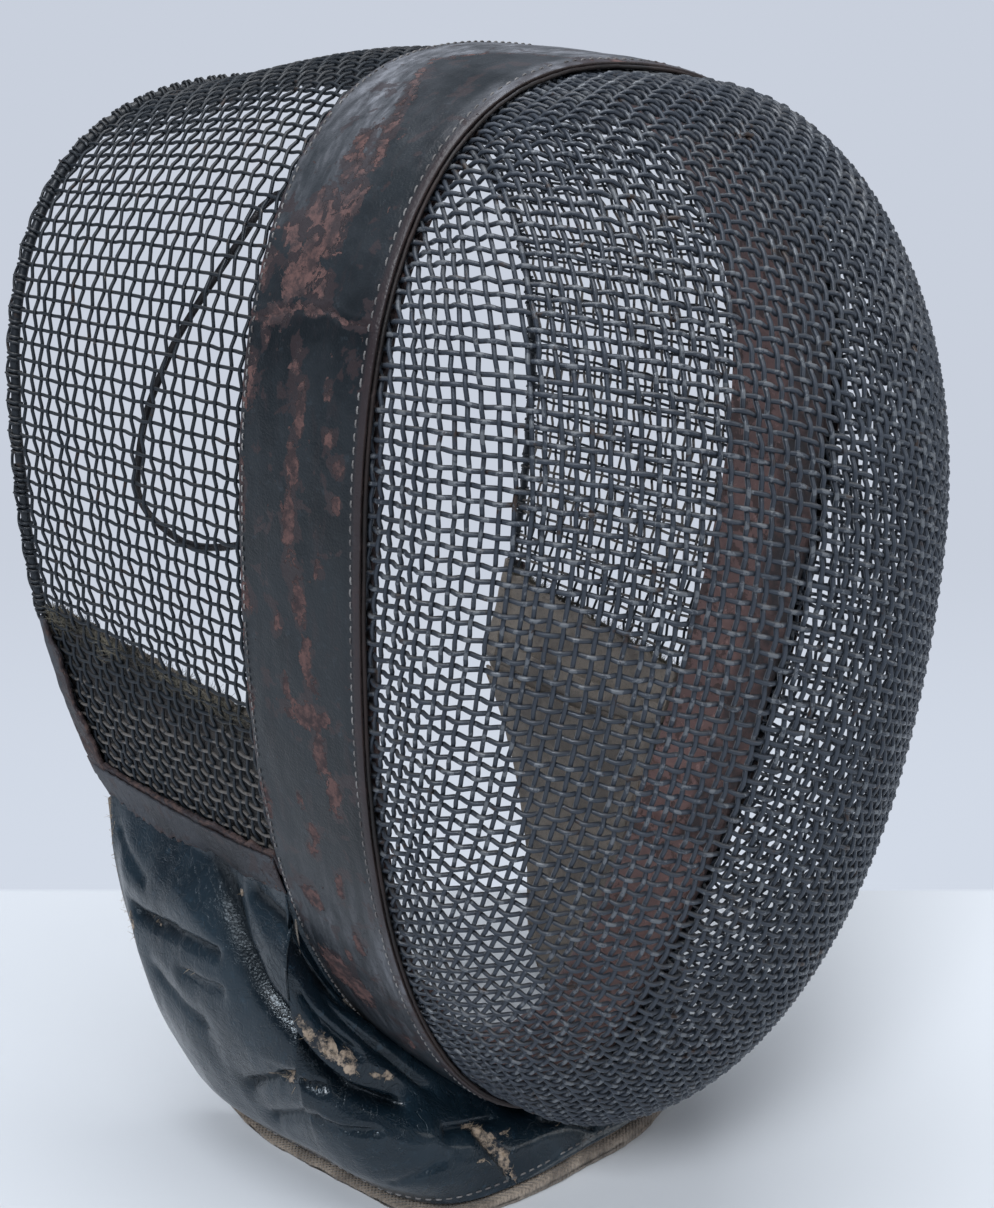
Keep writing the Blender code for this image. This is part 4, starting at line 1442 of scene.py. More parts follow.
@dataclass
class FrontGuard:
    """The domed guard: two sets of wires through one pressed cloth."""
    wire_radius: float = 0.605 * MM
    crimp_across: float = 0.56 * MM
    crimp_upright: float = 0.28 * MM
    thickness: float = 2.0 * MM
    shoulder: float = 0.22
    column_scatter: float = 0.085
    row_scatter: float = 0.05
    wander: float = 0.035
    lap: float = 0.075
    most_strand_faces: int = 185000
    seed: int = 11

    def make(self) -> None:
        """Weaves the guard and hands its pieces over."""
        cloth = PressedCloth()
        grid = self.scattered(cloth.lattice())
        flat = grid.reshape(-1, 2)
        kept = np.isfinite(flat[:, 0])
        x, z = flat[kept].T
        outward = cloth.outward(x, z)
        spots = np.full((len(flat), 3), np.nan)
        normals = np.full((len(flat), 3), np.nan)
        spots[kept] = cloth.outer_face(x, z) - outward * self.thickness / 2
        normals[kept] = outward
        forward = np.full(len(flat), -1.0)
        forward[kept] = cloth.measure(x, z)[2]
        shape = grid.shape[:2]
        spots, normals = spots.reshape(*shape, 3), normals.reshape(*shape, 3)
        there = forward.reshape(shape) > -self.lap
        parity = checkers(*shape)
        across = self.strands(spots, normals, parity * self.crimp_across, there)
        upright = self.strands(spots.transpose(1, 0, 2), normals.transpose(1, 0, 2),
                               -parity.T * self.crimp_upright, there.T)
        for label, strands in (("across", across), ("upright", upright)):
            self.hand_pieces(label, strands)

    def scattered(self, grid: Array) -> Array:
        """The cells' corners with the small unevenness of woven wire.

        Args:
            grid: the even corners.

        Returns:
            The corners, each moved a little.
        """
        random = np.random.default_rng(self.seed)
        sideways = np.gradient(grid, axis=0)
        upwards = np.gradient(grid, axis=1)
        columns = random.normal(0.0, self.column_scatter, grid.shape[0])[:, None, None]
        rows = random.normal(0.0, self.row_scatter, grid.shape[1])[None, :, None]
        wander = random.normal(0.0, self.wander, (*grid.shape[:2], 2))
        return grid + sideways * (columns + wander[..., :1]) + upwards * (rows + wander[..., 1:])

    def strands(self, spots: Array, normals: Array, lifts: Array, there: Array) -> list[Strand]:
        """The wires that run along the first direction of a lattice.

        Args:
            spots: the crossings.
            normals: the outward directions there.
            lifts: how far the wire stands out at each crossing.
            there: whether the cloth reaches each crossing.

        Returns:
            The wires, each an unbroken run of crossings.
        """
        made = []
        for row in range(spots.shape[1]):
            present = np.nonzero(there[:, row] & np.isfinite(spots[:, row, 0]))[0]
            for run in np.split(present, np.nonzero(np.diff(present) > 1)[0] + 1):
                if len(run) > 2:
                    made.append(weave_strand(spots[run, row], normals[run, row], lifts[run, row],
                                             self.shoulder))
        return made

    def hand_pieces(self, label: str, strands: list[Strand]) -> None:
        """Draws one set of wires in as many pieces as their size needs.

        Args:
            label: which set it is.
            strands: its wires.
        """
        faces = sum(len(strand.points) for strand in strands) * 12
        parts = math.ceil(faces / self.most_strand_faces)
        for part in range(parts):
            share = strands[part::parts]
            piece = draw_strands(f"guard_wires_{label}_{part + 1}", share, self.wire_radius, WIRE)
            hand_over(piece, Slot.WIRE, "front_mesh")


@dataclass
class Hood:
    """The coarser wire over the top and sides, woven from hoops and front-to-back wires."""
    wire_radius: float = 0.49 * MM
    cell: float = 4.4 * MM
    hoops: int = 24
    tail_hoops: int = 2
    hoop_crimp: float = 0.36 * MM
    row_crimp: float = 0.30 * MM
    shoulder: float = 0.17
    scatter: float = 0.06
    seed: int = 5
    rows_each_side: int = field(init=False)
    last_reach: float = field(init=False)
    band_angles: Array = field(init=False)
    band_arc: Array = field(init=False)
    rear_angles: Array = field(init=False)
    rear_arc: Array = field(init=False)

    def __post_init__(self) -> None:
        """Counts the rows that fit above the hood's lower edge."""
        self.band_angles, self.band_arc = SHAPE.arc(SHAPE.band_rear)
        self.rear_angles, self.rear_arc = SHAPE.arc(SHAPE.rear.points)
        lowest = np.interp(SHAPE.hood_end_at_band, self.band_angles, self.band_arc)
        self.rows_each_side = int((lowest - 1.0 * MM) / self.cell)
        self.last_reach = SHAPE.rear_reach(SHAPE.rim_inset)

    def angle_at(self, arc: Array, reach: Array) -> Array:
        """The ring angle of a front-to-back wire at a reach.

        Args:
            arc: the wire's arc length.
            reach: places from front to back.

        Returns:
            The angles.
        """
        at_band = np.interp(arc, self.band_arc, self.band_angles)
        at_rear = np.interp(arc, self.rear_arc, self.rear_angles)
        return lerp(at_band, at_rear, np.clip(reach - 1.0, 0.0, 1.0))

    def make(self) -> None:
        """Weaves the hood and hands its two pieces over."""
        random = np.random.default_rng(self.seed)
        row_count = 2 * self.rows_each_side + 1
        step = (self.last_reach - 1.0) / self.hoops
        rows = (np.arange(row_count) - self.rows_each_side
                + random.normal(0.0, self.scatter, row_count)) * self.cell
        hoops = (np.arange(-self.tail_hoops, self.hoops + 1)
                 + random.normal(0.0, self.scatter, self.hoops + self.tail_hoops + 1)) * step + 1.0
        hoops[-1] = self.last_reach
        arcs, reaches = np.meshgrid(rows, hoops, indexing="ij")
        arcs = arcs + random.normal(0.0, 0.03, arcs.shape) * self.cell
        reaches = np.minimum(reaches + random.normal(0.0, 0.03, arcs.shape) * step, self.last_reach)
        angles = self.angle_at(arcs, reaches)
        depths = SHAPE.hood_depth(reaches) + 0.75 * MM
        spots = SHAPE.under(angles, reaches, depths)
        normals = -SHAPE.inward(angles, reaches)
        over = checkers(len(rows), len(hoops))
        lengthways = [weave_strand(spots[row], normals[row], over[row] * self.row_crimp, self.shoulder)
                      for row in range(len(rows))]
        around = [weave_strand(spots[:, hoop], normals[:, hoop], -over[:, hoop] * self.hoop_crimp,
                               self.shoulder) for hoop in range(len(hoops) - 1)]
        dusty = smooth(101.0, 106.0, np.abs(np.degrees(angles)))
        for strands, share in ((lengthways, dusty), (around, dusty.T)):
            for strand, lower in zip(strands, share):
                strand.crest = lerp(strand.crest * 0.4, 0.82 + 0.45 * strand.crest, np.repeat(lower, 2))
        for name, strands in (("hood_wires_lengthways", lengthways), ("hood_wires_around", around)):
            hand_over(draw_strands(name, strands, self.wire_radius, HOOD_WIRE), Slot.WIRE, "side_mesh")


@dataclass
class RearEdge:
    """The hood's rear edge: a rod, the wires' ends bound round it, a scalloped wire and twisted nubs."""
    hood: Hood
    rod_radius: float = 1.35 * MM
    wire_radius: float = 0.47 * MM
    ends: tuple[float, float] = (math.radians(-105.0), math.radians(112.0))
    nub_length: float = 1.5 * MM
    seed: int = 23

    def frame_at(self, angles: Array) -> tuple[Array, Array, Array, Array]:
        """The rod's middle line and the directions round it.

        Args:
            angles: places round the mask.

        Returns:
            The points, and the unit directions along the rod, rearwards and outwards.
        """
        reach = SHAPE.rear_reach(SHAPE.rim_inset)
        points = SHAPE.under(angles, reach, SHAPE.rim_inset)
        along = unit(SHAPE.skin(angles + TANGENT_STEP, reach) - SHAPE.skin(angles - TANGENT_STEP, reach))
        outward = -SHAPE.inward(angles, reach)
        rearward = unit(np.cross(outward, along))
        rearward *= np.sign(rearward[..., 1:2])
        return points, along, rearward, outward

    def make(self) -> None:
        """Draws the edge's wires and hands them over."""
        random = np.random.default_rng(self.seed)
        angles = np.linspace(*self.ends, 300)
        points, _, rearward, outward = self.frame_at(angles)
        wobble = np.interp(np.arange(300), np.arange(0, 300, 6), random.normal(0.0, 0.15 * MM, 50))
        rod = [Strand(points + outward * wobble[:, None])]
        hand_over(draw_strands("rear_rod", rod, self.rod_radius, RIM_WIRE, 2), Slot.WIRE, "rear_rim")
        rows = np.arange(-self.hood.rows_each_side, self.hood.rows_each_side + 1)
        places = np.interp(rows * self.hood.cell, self.hood.rear_arc, self.hood.rear_angles)
        kept = (places > self.ends[0]) & (places < self.ends[1])
        rows, places = rows[kept], places[kept]
        strands = [self.turn_round(place, random) for place in places]
        strands += [strand for row, place in zip(rows, places) if row % 2 == 0
                    for strand in self.nub(place, random)]
        strands.append(self.scallop(rows, places))
        strands += self.end_loops()
        hand_over(draw_strands("rear_edge_wires", strands, self.wire_radius, RIM_WIRE), Slot.WIRE,
                  "rear_rim")

    def turn_round(self, place: float, random: np.random.Generator) -> Strand:
        """One wire's end, bound once and a half round the rod.

        Args:
            place: the end's place round the mask.
            random: the source of chance.

        Returns:
            The bound wire.
        """
        turns = np.linspace(-0.25, 1.3, 15) * 2 * math.pi
        points, along, rearward, outward = self.frame_at(np.array([place + random.normal(0.0, 0.002)]))
        radius = self.rod_radius + self.wire_radius * 0.9
        side = along * (np.linspace(-0.55, 0.55, 15)[:, None] * MM * 2 + random.normal(0.0, 0.1 * MM))
        ring = rearward * np.sin(turns)[:, None] + outward * np.cos(turns)[:, None]
        return Strand(points + side + ring * radius, crest=np.clip(np.cos(turns), 0.0, 1.0))

    def nub(self, place: float, random: np.random.Generator) -> list[Strand]:
        """A short twisted end that sticks out behind the rod: two wires round each other.

        Args:
            place: the end's place round the mask.
            random: the source of chance.

        Returns:
            Its two wires.
        """
        points, along, rearward, outward = self.frame_at(np.array([place]))
        lean = random.normal(0.0, 0.25)
        way = unit(rearward + outward * (0.55 + random.normal(0.0, 0.15)) + along * lean)
        across = unit(np.cross(way, along))
        other = np.cross(way, across)
        length = self.nub_length * random.uniform(0.75, 1.15)
        shares = np.linspace(0.0, 1.0, 8)
        made = []
        for start in (0.0, math.pi):
            turns = start + shares * 3.4
            spread_out = self.wire_radius * lerp(0.95, 0.25, shares)[:, None]
            twist = across * np.cos(turns)[:, None] + other * np.sin(turns)[:, None]
            line = points + way * (self.rod_radius + shares[:, None] * length)
            made.append(Strand(line + twist * spread_out, girth=lerp(1.0, 0.6, shares)))
        return made

    def scallop(self, rows: Array, places: Array) -> Strand:
        """The thin wire that bows out behind the rod between the nubs.

        Args:
            rows: the rows' numbers.
            places: where they end, round the mask.

        Returns:
            The wire.
        """
        steps = 5
        shares = np.linspace(rows[0], rows[-1], (len(rows) - 1) * steps + 1)
        angles = np.interp(shares, rows, places)
        points, _, rearward, outward = self.frame_at(angles)
        bow = np.abs(np.sin(shares * math.pi / 2.0 + math.pi / 2)) ** 0.8
        away = lerp(self.rod_radius + 0.2 * MM, self.rod_radius + 1.5 * MM, bow)
        return Strand(points + (rearward + outward * 0.25) * away[:, None], crest=bow)

    def end_loops(self) -> list[Strand]:
        """The small open loop at each end of the rod.

        Returns:
            The two loops.
        """
        made = []
        for side, end in zip((-1.0, 1.0), self.ends):
            points, along, rearward, outward = self.frame_at(np.array([end]))
            turns = np.linspace(-0.2, 1.55, 16) * math.pi
            radius = 2.0 * MM
            centre = points + along * side * 1.2 * MM + rearward * 0.9 * MM
            ring = along * side * np.sin(turns)[:, None] + rearward * np.cos(turns)[:, None]
            made.append(Strand(centre + ring * radius + outward * 0.3 * MM))
        return made


@dataclass(frozen=True)
class WearPatch:
    """A worn place on the band, by its middle and its size in millimetres."""
    angle: float
    reach: float
    length: float
    width: float
    strength: float = 0.8


BAND_WEAR = tuple(WearPatch(*row) for row in (
    (-50.5, 0.45, 7.0, 4.0, 0.62), (-55.5, 0.52, 8.0, 4.5, 0.72), (-60.5, 0.62, 8.0, 4.0, 0.85),
    (-63.5, 0.72, 5.0, 3.0, 0.90), (-58.5, 0.74, 4.0, 2.0, 0.62), (-46.0, 0.55, 9.0, 4.0, 0.56),
    (-41.0, 0.60, 8.0, 3.0, 0.58), (-53.0, 0.68, 6.0, 3.0, 0.70), (-56.5, 0.82, 5.0, 2.4, 0.68),
    (-62.5, 0.48, 5.0, 3.0, 0.66), (-70.5, 0.84, 2.4, 2.0, 0.66), (-75.5, 0.30, 3.0, 1.6, 0.62),
    (-92.0, 0.32, 2.6, 1.8, 0.66), (-97.0, 0.66, 4.0, 1.6, 0.66), (-101.5, 0.62, 4.0, 1.6, 0.68),
    (-111.5, 0.60, 3.0, 1.8, 0.70), (-119.0, 0.36, 5.0, 1.8, 0.72), (-126.5, 0.34, 6.0, 1.8, 0.74),
    (-129.0, 0.50, 4.0, 1.6, 0.72), (-142.0, 0.30, 5.0, 1.8, 0.72), (-67.5, 0.78, 3.0, 6.0, 0.70),
    (-66.0, 0.55, 2.0, 5.0, 0.60), (-73.0, 0.57, 5.0, 2.0, 0.60), (-78.0, 0.50, 8.0, 2.0, 0.66),
    (-84.0, 0.54, 8.0, 2.2, 0.72), (-89.5, 0.55, 9.0, 2.6, 0.80), (-94.5, 0.48, 8.0, 2.4, 0.78),
    (-99.0, 0.43, 6.0, 2.4, 0.74), (-100.7, 0.40, 3.0, 2.5, 0.75), (-80.2, 0.25, 2.0, 2.4, 0.75),
    (-83.2, 0.18, 2.5, 2.0, 0.75), (-86.7, 0.20, 2.2, 2.2, 0.75), (-103.5, 0.45, 3.8, 8.8, 0.85),
    (-106.2, 0.37, 7.5, 2.5, 0.83), (-109.8, 0.27, 7.5, 2.5, 0.83), (-114.2, 0.52, 2.8, 2.2, 0.83),
    (-116.2, 0.55, 2.8, 2.2, 0.83), (-122.6, 0.70, 4.2, 4.0, 0.90), (-132.6, 0.72, 7.5, 6.2, 1.00),
    (-135.0, 0.58, 7.5, 5.0, 1.00), (-76.0, 0.93, 7.0, 2.4, 0.75), (-88.0, 0.96, 9.0, 1.6, 0.66),
    (-95.7, 0.95, 5.0, 2.0, 0.72), (-104.0, 0.97, 5.0, 1.6, 0.66), (-113.0, 0.95, 7.0, 2.0, 0.72),
    (-62.0, 0.95, 6.0, 2.0, 0.66),))
CRACK = ((-68.6, 1.0), (-67.6, 0.80), (-66.3, 0.62), (-66.6, 0.50), (-65.6, 0.38), (-67.2, 0.22),
         (-66.6, 0.10))


@dataclass
class Band:
    """The broad band over the joint, its piping and its two rows of stitches."""
    start: float = 0.020
    thickness: float = 1.3 * MM
    rolled: float = 0.4 * MM
    around: int = 620
    across: int = 30
    stitch_reaches: tuple[float, float] = (0.080, 0.962)
    stitch_pitches: tuple[float, float] = (3.0 * MM, 2.5 * MM)
    stitch_radius: float = 0.23 * MM
    piping_radius: float = 0.5 * MM
    piping_reach: float = 0.010
    piping_depth: float = 1.5 * MM
    edge_roughness: float = 0.35 * MM
    far_patches: int = 70
    wear_strength: float = 1.06
    seed: int = 3

    def to_skin(self, u: Array, v: Array) -> tuple[Array, Array]:
        """Angles and reaches from shares of the band."""
        return lerp(-math.pi, math.pi, u), lerp(self.start, 1.0, v)

    def spread_mm(self, angles: Number, reaches: Number) -> tuple[Number, Number]:
        """Places on the flat band in millimetres, along and across it."""
        table, lengths = SHAPE.arc(SHAPE.front.points)
        return np.interp(angles, table, lengths) / MM, reaches * SHAPE.band_width / MM

    def crack_distance(self, angles: Array, reaches: Array) -> Array:
        """How far each point is from the cross crack, in millimetres.

        Args:
            angles: places round the mask.
            reaches: places from front to back.

        Returns:
            The distances.
        """
        along, across = self.spread_mm(angles, reaches)
        knots = [self.spread_mm(np.radians(angle), reach) for angle, reach in CRACK]
        distances = [segment_distance(along, across, start, end) for start, end in zip(knots, knots[1:])]
        return np.min(distances, axis=0)

    def relief(self, angles: Array, reaches: Array) -> Array:
        """How far the leather stands out: long wrinkles, the crack's lips and small unevenness.

        Args:
            angles: places round the mask.
            reaches: places from front to back.

        Returns:
            The heights in metres.
        """
        along, across = self.spread_mm(angles, reaches)
        flat = side_by_side(along, across, 0.0) * MM
        drawn = flat * np.array((0.16, 1.0, 1.0))
        sides = smooth(0.75, 0.2, np.abs(np.cos(angles)))
        wrinkles = ripple(drawn, 3.2 * MM, 1.0) * 0.20 * MM * smooth(0.45, 0.75, reaches) * sides
        uneven = ripple(flat, 16.0 * MM, 2.0) * 0.35 * MM + ripple(flat, 4.0 * MM, 4.0) * 0.06 * MM
        distance = self.crack_distance(angles, reaches)
        lips = (bell(distance - 1.1, 0.9) * 0.30 - bell(distance, 0.55) * 0.45) * MM
        seam = -0.28 * MM * bell((reaches - self.stitch_reaches[0]) * SHAPE.band_width, 0.9 * MM)
        return wrinkles + uneven * arch(reaches) + lips + seam

    def face(self, u: Array, v: Array) -> Array:
        """The band's outer face, with its worn edges.

        Args:
            u: shares of the way along it.
            v: shares of the way across it.

        Returns:
            The face's points.
        """
        angles, reaches = self.to_skin(u, v)
        crown = SHAPE.band_crown * arch(reaches)
        along, _ = self.spread_mm(angles, reaches)
        line = side_by_side(along, 0.0, 0.0) * MM
        ragged = ripple(line, 2.5 * MM, 8.0) * self.edge_roughness / SHAPE.band_width
        seam_free = smooth(0.0, 0.02, u) * smooth(1.0, 0.98, u)
        shifted = reaches - np.abs(ragged) * smooth(0.93, 1.0, v) * seam_free
        relief = self.relief(angles, reaches) * seam_free
        turned_in = self.rolled * smooth(0.058, 0.0, reaches - self.start) ** 2
        return SHAPE.under(angles, shifted, turned_in - crown - relief)

    def wear(self, u: Array, v: Array) -> Array:
        """Where the dye is worn through: the charted patches, the crack and the rubbed edges.

        Args:
            u: shares of the way along it.
            v: shares of the way across it.

        Returns:
            The mask, 0 to 1.
        """
        angles, reaches = self.to_skin(u, v)
        along, across = self.spread_mm(angles, reaches)
        random = np.random.default_rng(self.seed)
        patches = list(BAND_WEAR)
        for _ in range(self.far_patches):
            patches.append(WearPatch(random.uniform(15.0, 178.0), random.uniform(0.15, 0.98),
                                     random.uniform(2.0, 9.0), random.uniform(1.5, 4.0),
                                     random.uniform(0.50, 0.90)))
        mask = np.zeros_like(u)
        for patch in patches:
            at_along, at_across = self.spread_mm(np.radians(patch.angle), patch.reach)
            far = np.hypot((along - at_along) / patch.length, (across - at_across) / patch.width)
            mask = np.maximum(mask, patch.strength * self.wear_strength * np.exp(-far ** 2 * 0.8))
        crack = 0.66 * bell(self.crack_distance(angles, reaches), 1.0)
        edge = 0.44 * bell((1.0 - reaches) * SHAPE.band_width / MM, 1.3)
        border = 0.52 * bell(self.top_border(angles, reaches), 0.07)
        degrees = np.degrees(np.abs(angles))
        freckles = 0.30 * bell(degrees - 58.0, 12.0) * smooth(0.25, 0.5, reaches)
        rubbed = 0.20 * smooth(96.0, 130.0, degrees) * smooth(0.65, 0.35, reaches)
        return np.maximum.reduce([mask, crack, edge, border, freckles, rubbed, np.full_like(u, 0.13)])

    def top_border(self, angles: Array, reaches: Array) -> Array:
        """How far behind the front of the dusty grey leather on top of the head, as a reach.

        Args:
            angles: places round the mask.
            reaches: places from front to back.

        Returns:
            The distances, below 0 in front of the border.
        """
        degrees = np.degrees(np.abs(angles))
        limit = np.interp(degrees, (0.0, 7.0, 12.0, 18.0, 34.0, 44.0, 53.0, 60.0),
                          (0.0, 0.10, 0.50, 0.72, 0.50, 0.42, 0.60, 1.30))
        return reaches - limit

    def grey(self, u: Array, v: Array) -> Array:
        """Where the leather is dusty grey: over the head, and near the chin's front edge.

        Args:
            u: shares of the way along it.
            v: shares of the way across it.

        Returns:
            The mask, 0 to 1.
        """
        angles, reaches = self.to_skin(u, v)
        degrees = np.degrees(np.abs(angles))
        dustiest = lerp(0.30, 0.95, smooth(46.0, 26.0, degrees))
        top = smooth(-0.05, 0.10, self.top_border(angles, reaches)) * dustiest
        rim = smooth(0.17, 0.08, reaches) * smooth(42.0, 20.0, degrees) * 0.7
        low = bell(degrees - 128.0, 7.0) * smooth(0.45, 0.15, reaches) * 0.5
        film = 0.24 * smooth(112.0, 126.0, degrees) * smooth(150.0, 138.0, degrees)
        return np.maximum.reduce([top, rim, low, film])

    def strip(self, u: Array, v: Array) -> Array:
        """The rubbed strip in front of the front stitches."""
        _, reaches = self.to_skin(u, v)
        return smooth(self.stitch_reaches[0] + 0.01, self.stitch_reaches[0] - 0.02, reaches)

    def make(self) -> None:
        """Makes the band with its stitches and piping, and hands them over."""
        masks = {"wear": self.wear, "grey": self.grey, "strip": self.strip}
        band = lay_sheet("band_leather", self.around, self.across, self.face, [BAND_LEATHER, BAND_EDGE],
                         masks, joined=True)
        thicken(band, self.thickness, edge_slot=1, rounding=0.3 * MM)
        hand_over(band, Slot.BAND, "leather_band")
        for label, reach, pitch in zip(("front", "rear"), self.stitch_reaches, self.stitch_pitches):
            stitches = draw_strands(f"band_stitches_{label}", self.stitches(reach, pitch),
                                    self.stitch_radius, PALE_THREAD)
            hand_over(stitches, Slot.BAND)
        hand_over(draw_strands("piping_cord", self.piping(), self.piping_radius, PIPING_LEATHER, 2),
                  Slot.PIPING, "band_piping")

    def stitches(self, reach: float, pitch: float) -> list[Strand]:
        """One row of stitches round the band, each a short arch that dips into the leather.

        Args:
            reach: where the row lies.
            pitch: from one stitch to the next.

        Returns:
            The stitches; some are missing, as on worn leather.
        """
        random = np.random.default_rng(self.seed + int(reach * 1000))
        table, lengths = SHAPE.arc(lambda angles: SHAPE.skin(angles, reach))
        count = int((lengths[-1] - lengths[0]) / pitch)
        made = []
        for index in range(count):
            if random.random() < 0.07:
                continue
            middle = lengths[0] + (index + 0.5) * pitch
            half = pitch * random.uniform(0.28, 0.37)
            spots = middle + np.array((-1.0, -0.7, 0.0, 0.7, 1.0)) * half
            angles = np.interp(spots, lengths, table)
            slant = random.normal(0.0, 0.0015) + np.linspace(-1.0, 1.0, 5) * 0.0022
            reaches = reach + slant
            rise = np.array((-0.35, 0.10, 0.22, 0.10, -0.35)) * MM
            crown = SHAPE.band_crown * arch(reaches) + self.relief(angles, reaches)
            made.append(Strand(SHAPE.under(angles, reaches, -crown - rise),
                               girth=np.array((0.6, 0.95, 1.0, 0.95, 0.6))))
        return made

    def piping(self) -> list[Strand]:
        """The thin cord of the folded welt, under the band's front edge.

        Returns:
            The cord, closed on itself.
        """
        angles = np.linspace(-math.pi, math.pi, 420, endpoint=False)
        line = side_by_side(np.cos(angles), np.sin(angles), 0.0)
        wobble = ripple(line, 0.05, 3.0) * 0.14 * MM
        points = SHAPE.under(angles, self.piping_reach, self.piping_depth + wobble)
        return [Strand(points, girth=1.0 + ripple(line, 0.03, 5.0) * 0.15, closed=True)]


@dataclass
class InnerLeather:
    """What lines the joint from inside: the leather strip, and the padding at the chin."""
    lining_depth: float = 4.8 * MM
    lining: float = 1.8 * MM
    lining_reaches: tuple[float, float] = (0.03, 0.98)
    dark_share: float = 0.40
    pad_span: float = math.radians(46.0)
    pad_reaches: tuple[float, float] = (0.06, 0.92)
    pad_edge: float = 2.0 * MM
    pad_swell: float = 7.0 * MM
    pad_ribs: int = 5

    def lining_face(self, u: Array, v: Array) -> Array:
        """The strip's outer face.

        Args:
            u: shares of the way along it.
            v: shares of the way across it.

        Returns:
            The face's points.
        """
        angles = lerp(-math.pi, math.pi, u)
        reaches = lerp(*self.lining_reaches, v)
        flat = side_by_side(np.cos(angles), np.sin(angles), reaches)
        seam_free = smooth(0.0, 0.02, u) * smooth(1.0, 0.98, u)
        uneven = ripple(flat, 0.12, 6.0) * 0.25 * MM * seam_free
        return SHAPE.under(angles, reaches, self.lining_depth + np.abs(uneven))

    def lining_dark(self, u: Array, v: Array) -> Array:
        """The darker front part of the strip, with an uneven border.

        Args:
            u: shares of the way along it.
            v: shares of the way across it.

        Returns:
            The mask, 0 to 1.
        """
        flat = side_by_side(np.cos(u * 2 * math.pi), np.sin(u * 2 * math.pi), 0.0)
        border = self.dark_share + ripple(flat, 0.2, 9.0) * 0.04
        return smooth(0.03, -0.03, v - border) * 0.9

    def pad_thickness(self, u: Array, v: Array) -> Array:
        """The chin padding's thickness: swollen in its middle, and drawn in along its ribs.

        Args:
            u: shares of the way along it.
            v: shares of the way across it.

        Returns:
            The thicknesses in metres.
        """
        across = lerp(-1.0, 1.0, u)
        taper = np.cos(across * 0.92 * math.pi / 2)
        swell = np.sin(math.pi * np.clip(v, 0.001, 0.999)) ** 0.6
        ribs = 1.0 - 0.30 * np.abs(np.cos(across * math.pi * self.pad_ribs / 2)) ** 8
        return self.pad_edge + self.pad_swell * taper * swell * ribs

    def make(self) -> None:
        """Makes the strip and the padding, and hands them over."""
        # The strip's front part is painted darker through its grey mask.
        masks = {"grey": self.lining_dark,
                 "wear": lambda u, v: 0.30 * bell(v - 1.0, 0.12) + 0.22 * bell(v - 0.62, 0.3)}
        strip = lay_sheet("lining_strip", 360, 16, self.lining_face, [LINING_LEATHER], masks, joined=True)
        thicken(strip, self.lining, rounding=0.25 * MM)
        hand_over(strip, Slot.LINING, "band_lining")
        outer = self.lining_depth + self.lining + 0.75 * MM

        def face(u: Array, v: Array, depth: Array) -> Array:
            """A face of the padding."""
            return SHAPE.under(math.pi + lerp(-1.0, 1.0, u) * self.pad_span, lerp(*self.pad_reaches, v),
                               outer + depth)

        worn = {"wear": lambda u, v: np.full_like(u, 0.15), "grey": lambda u, v: np.full_like(u, 0.3)}
        pad = lay_pad("chin_padding", 96, 22, lambda u, v: face(u, v, np.zeros_like(u)),
                      lambda u, v: face(u, v, self.pad_thickness(u, v)), [LINING_LEATHER], worn)
        hand_over(pad, Slot.PAD, "chin_pad")


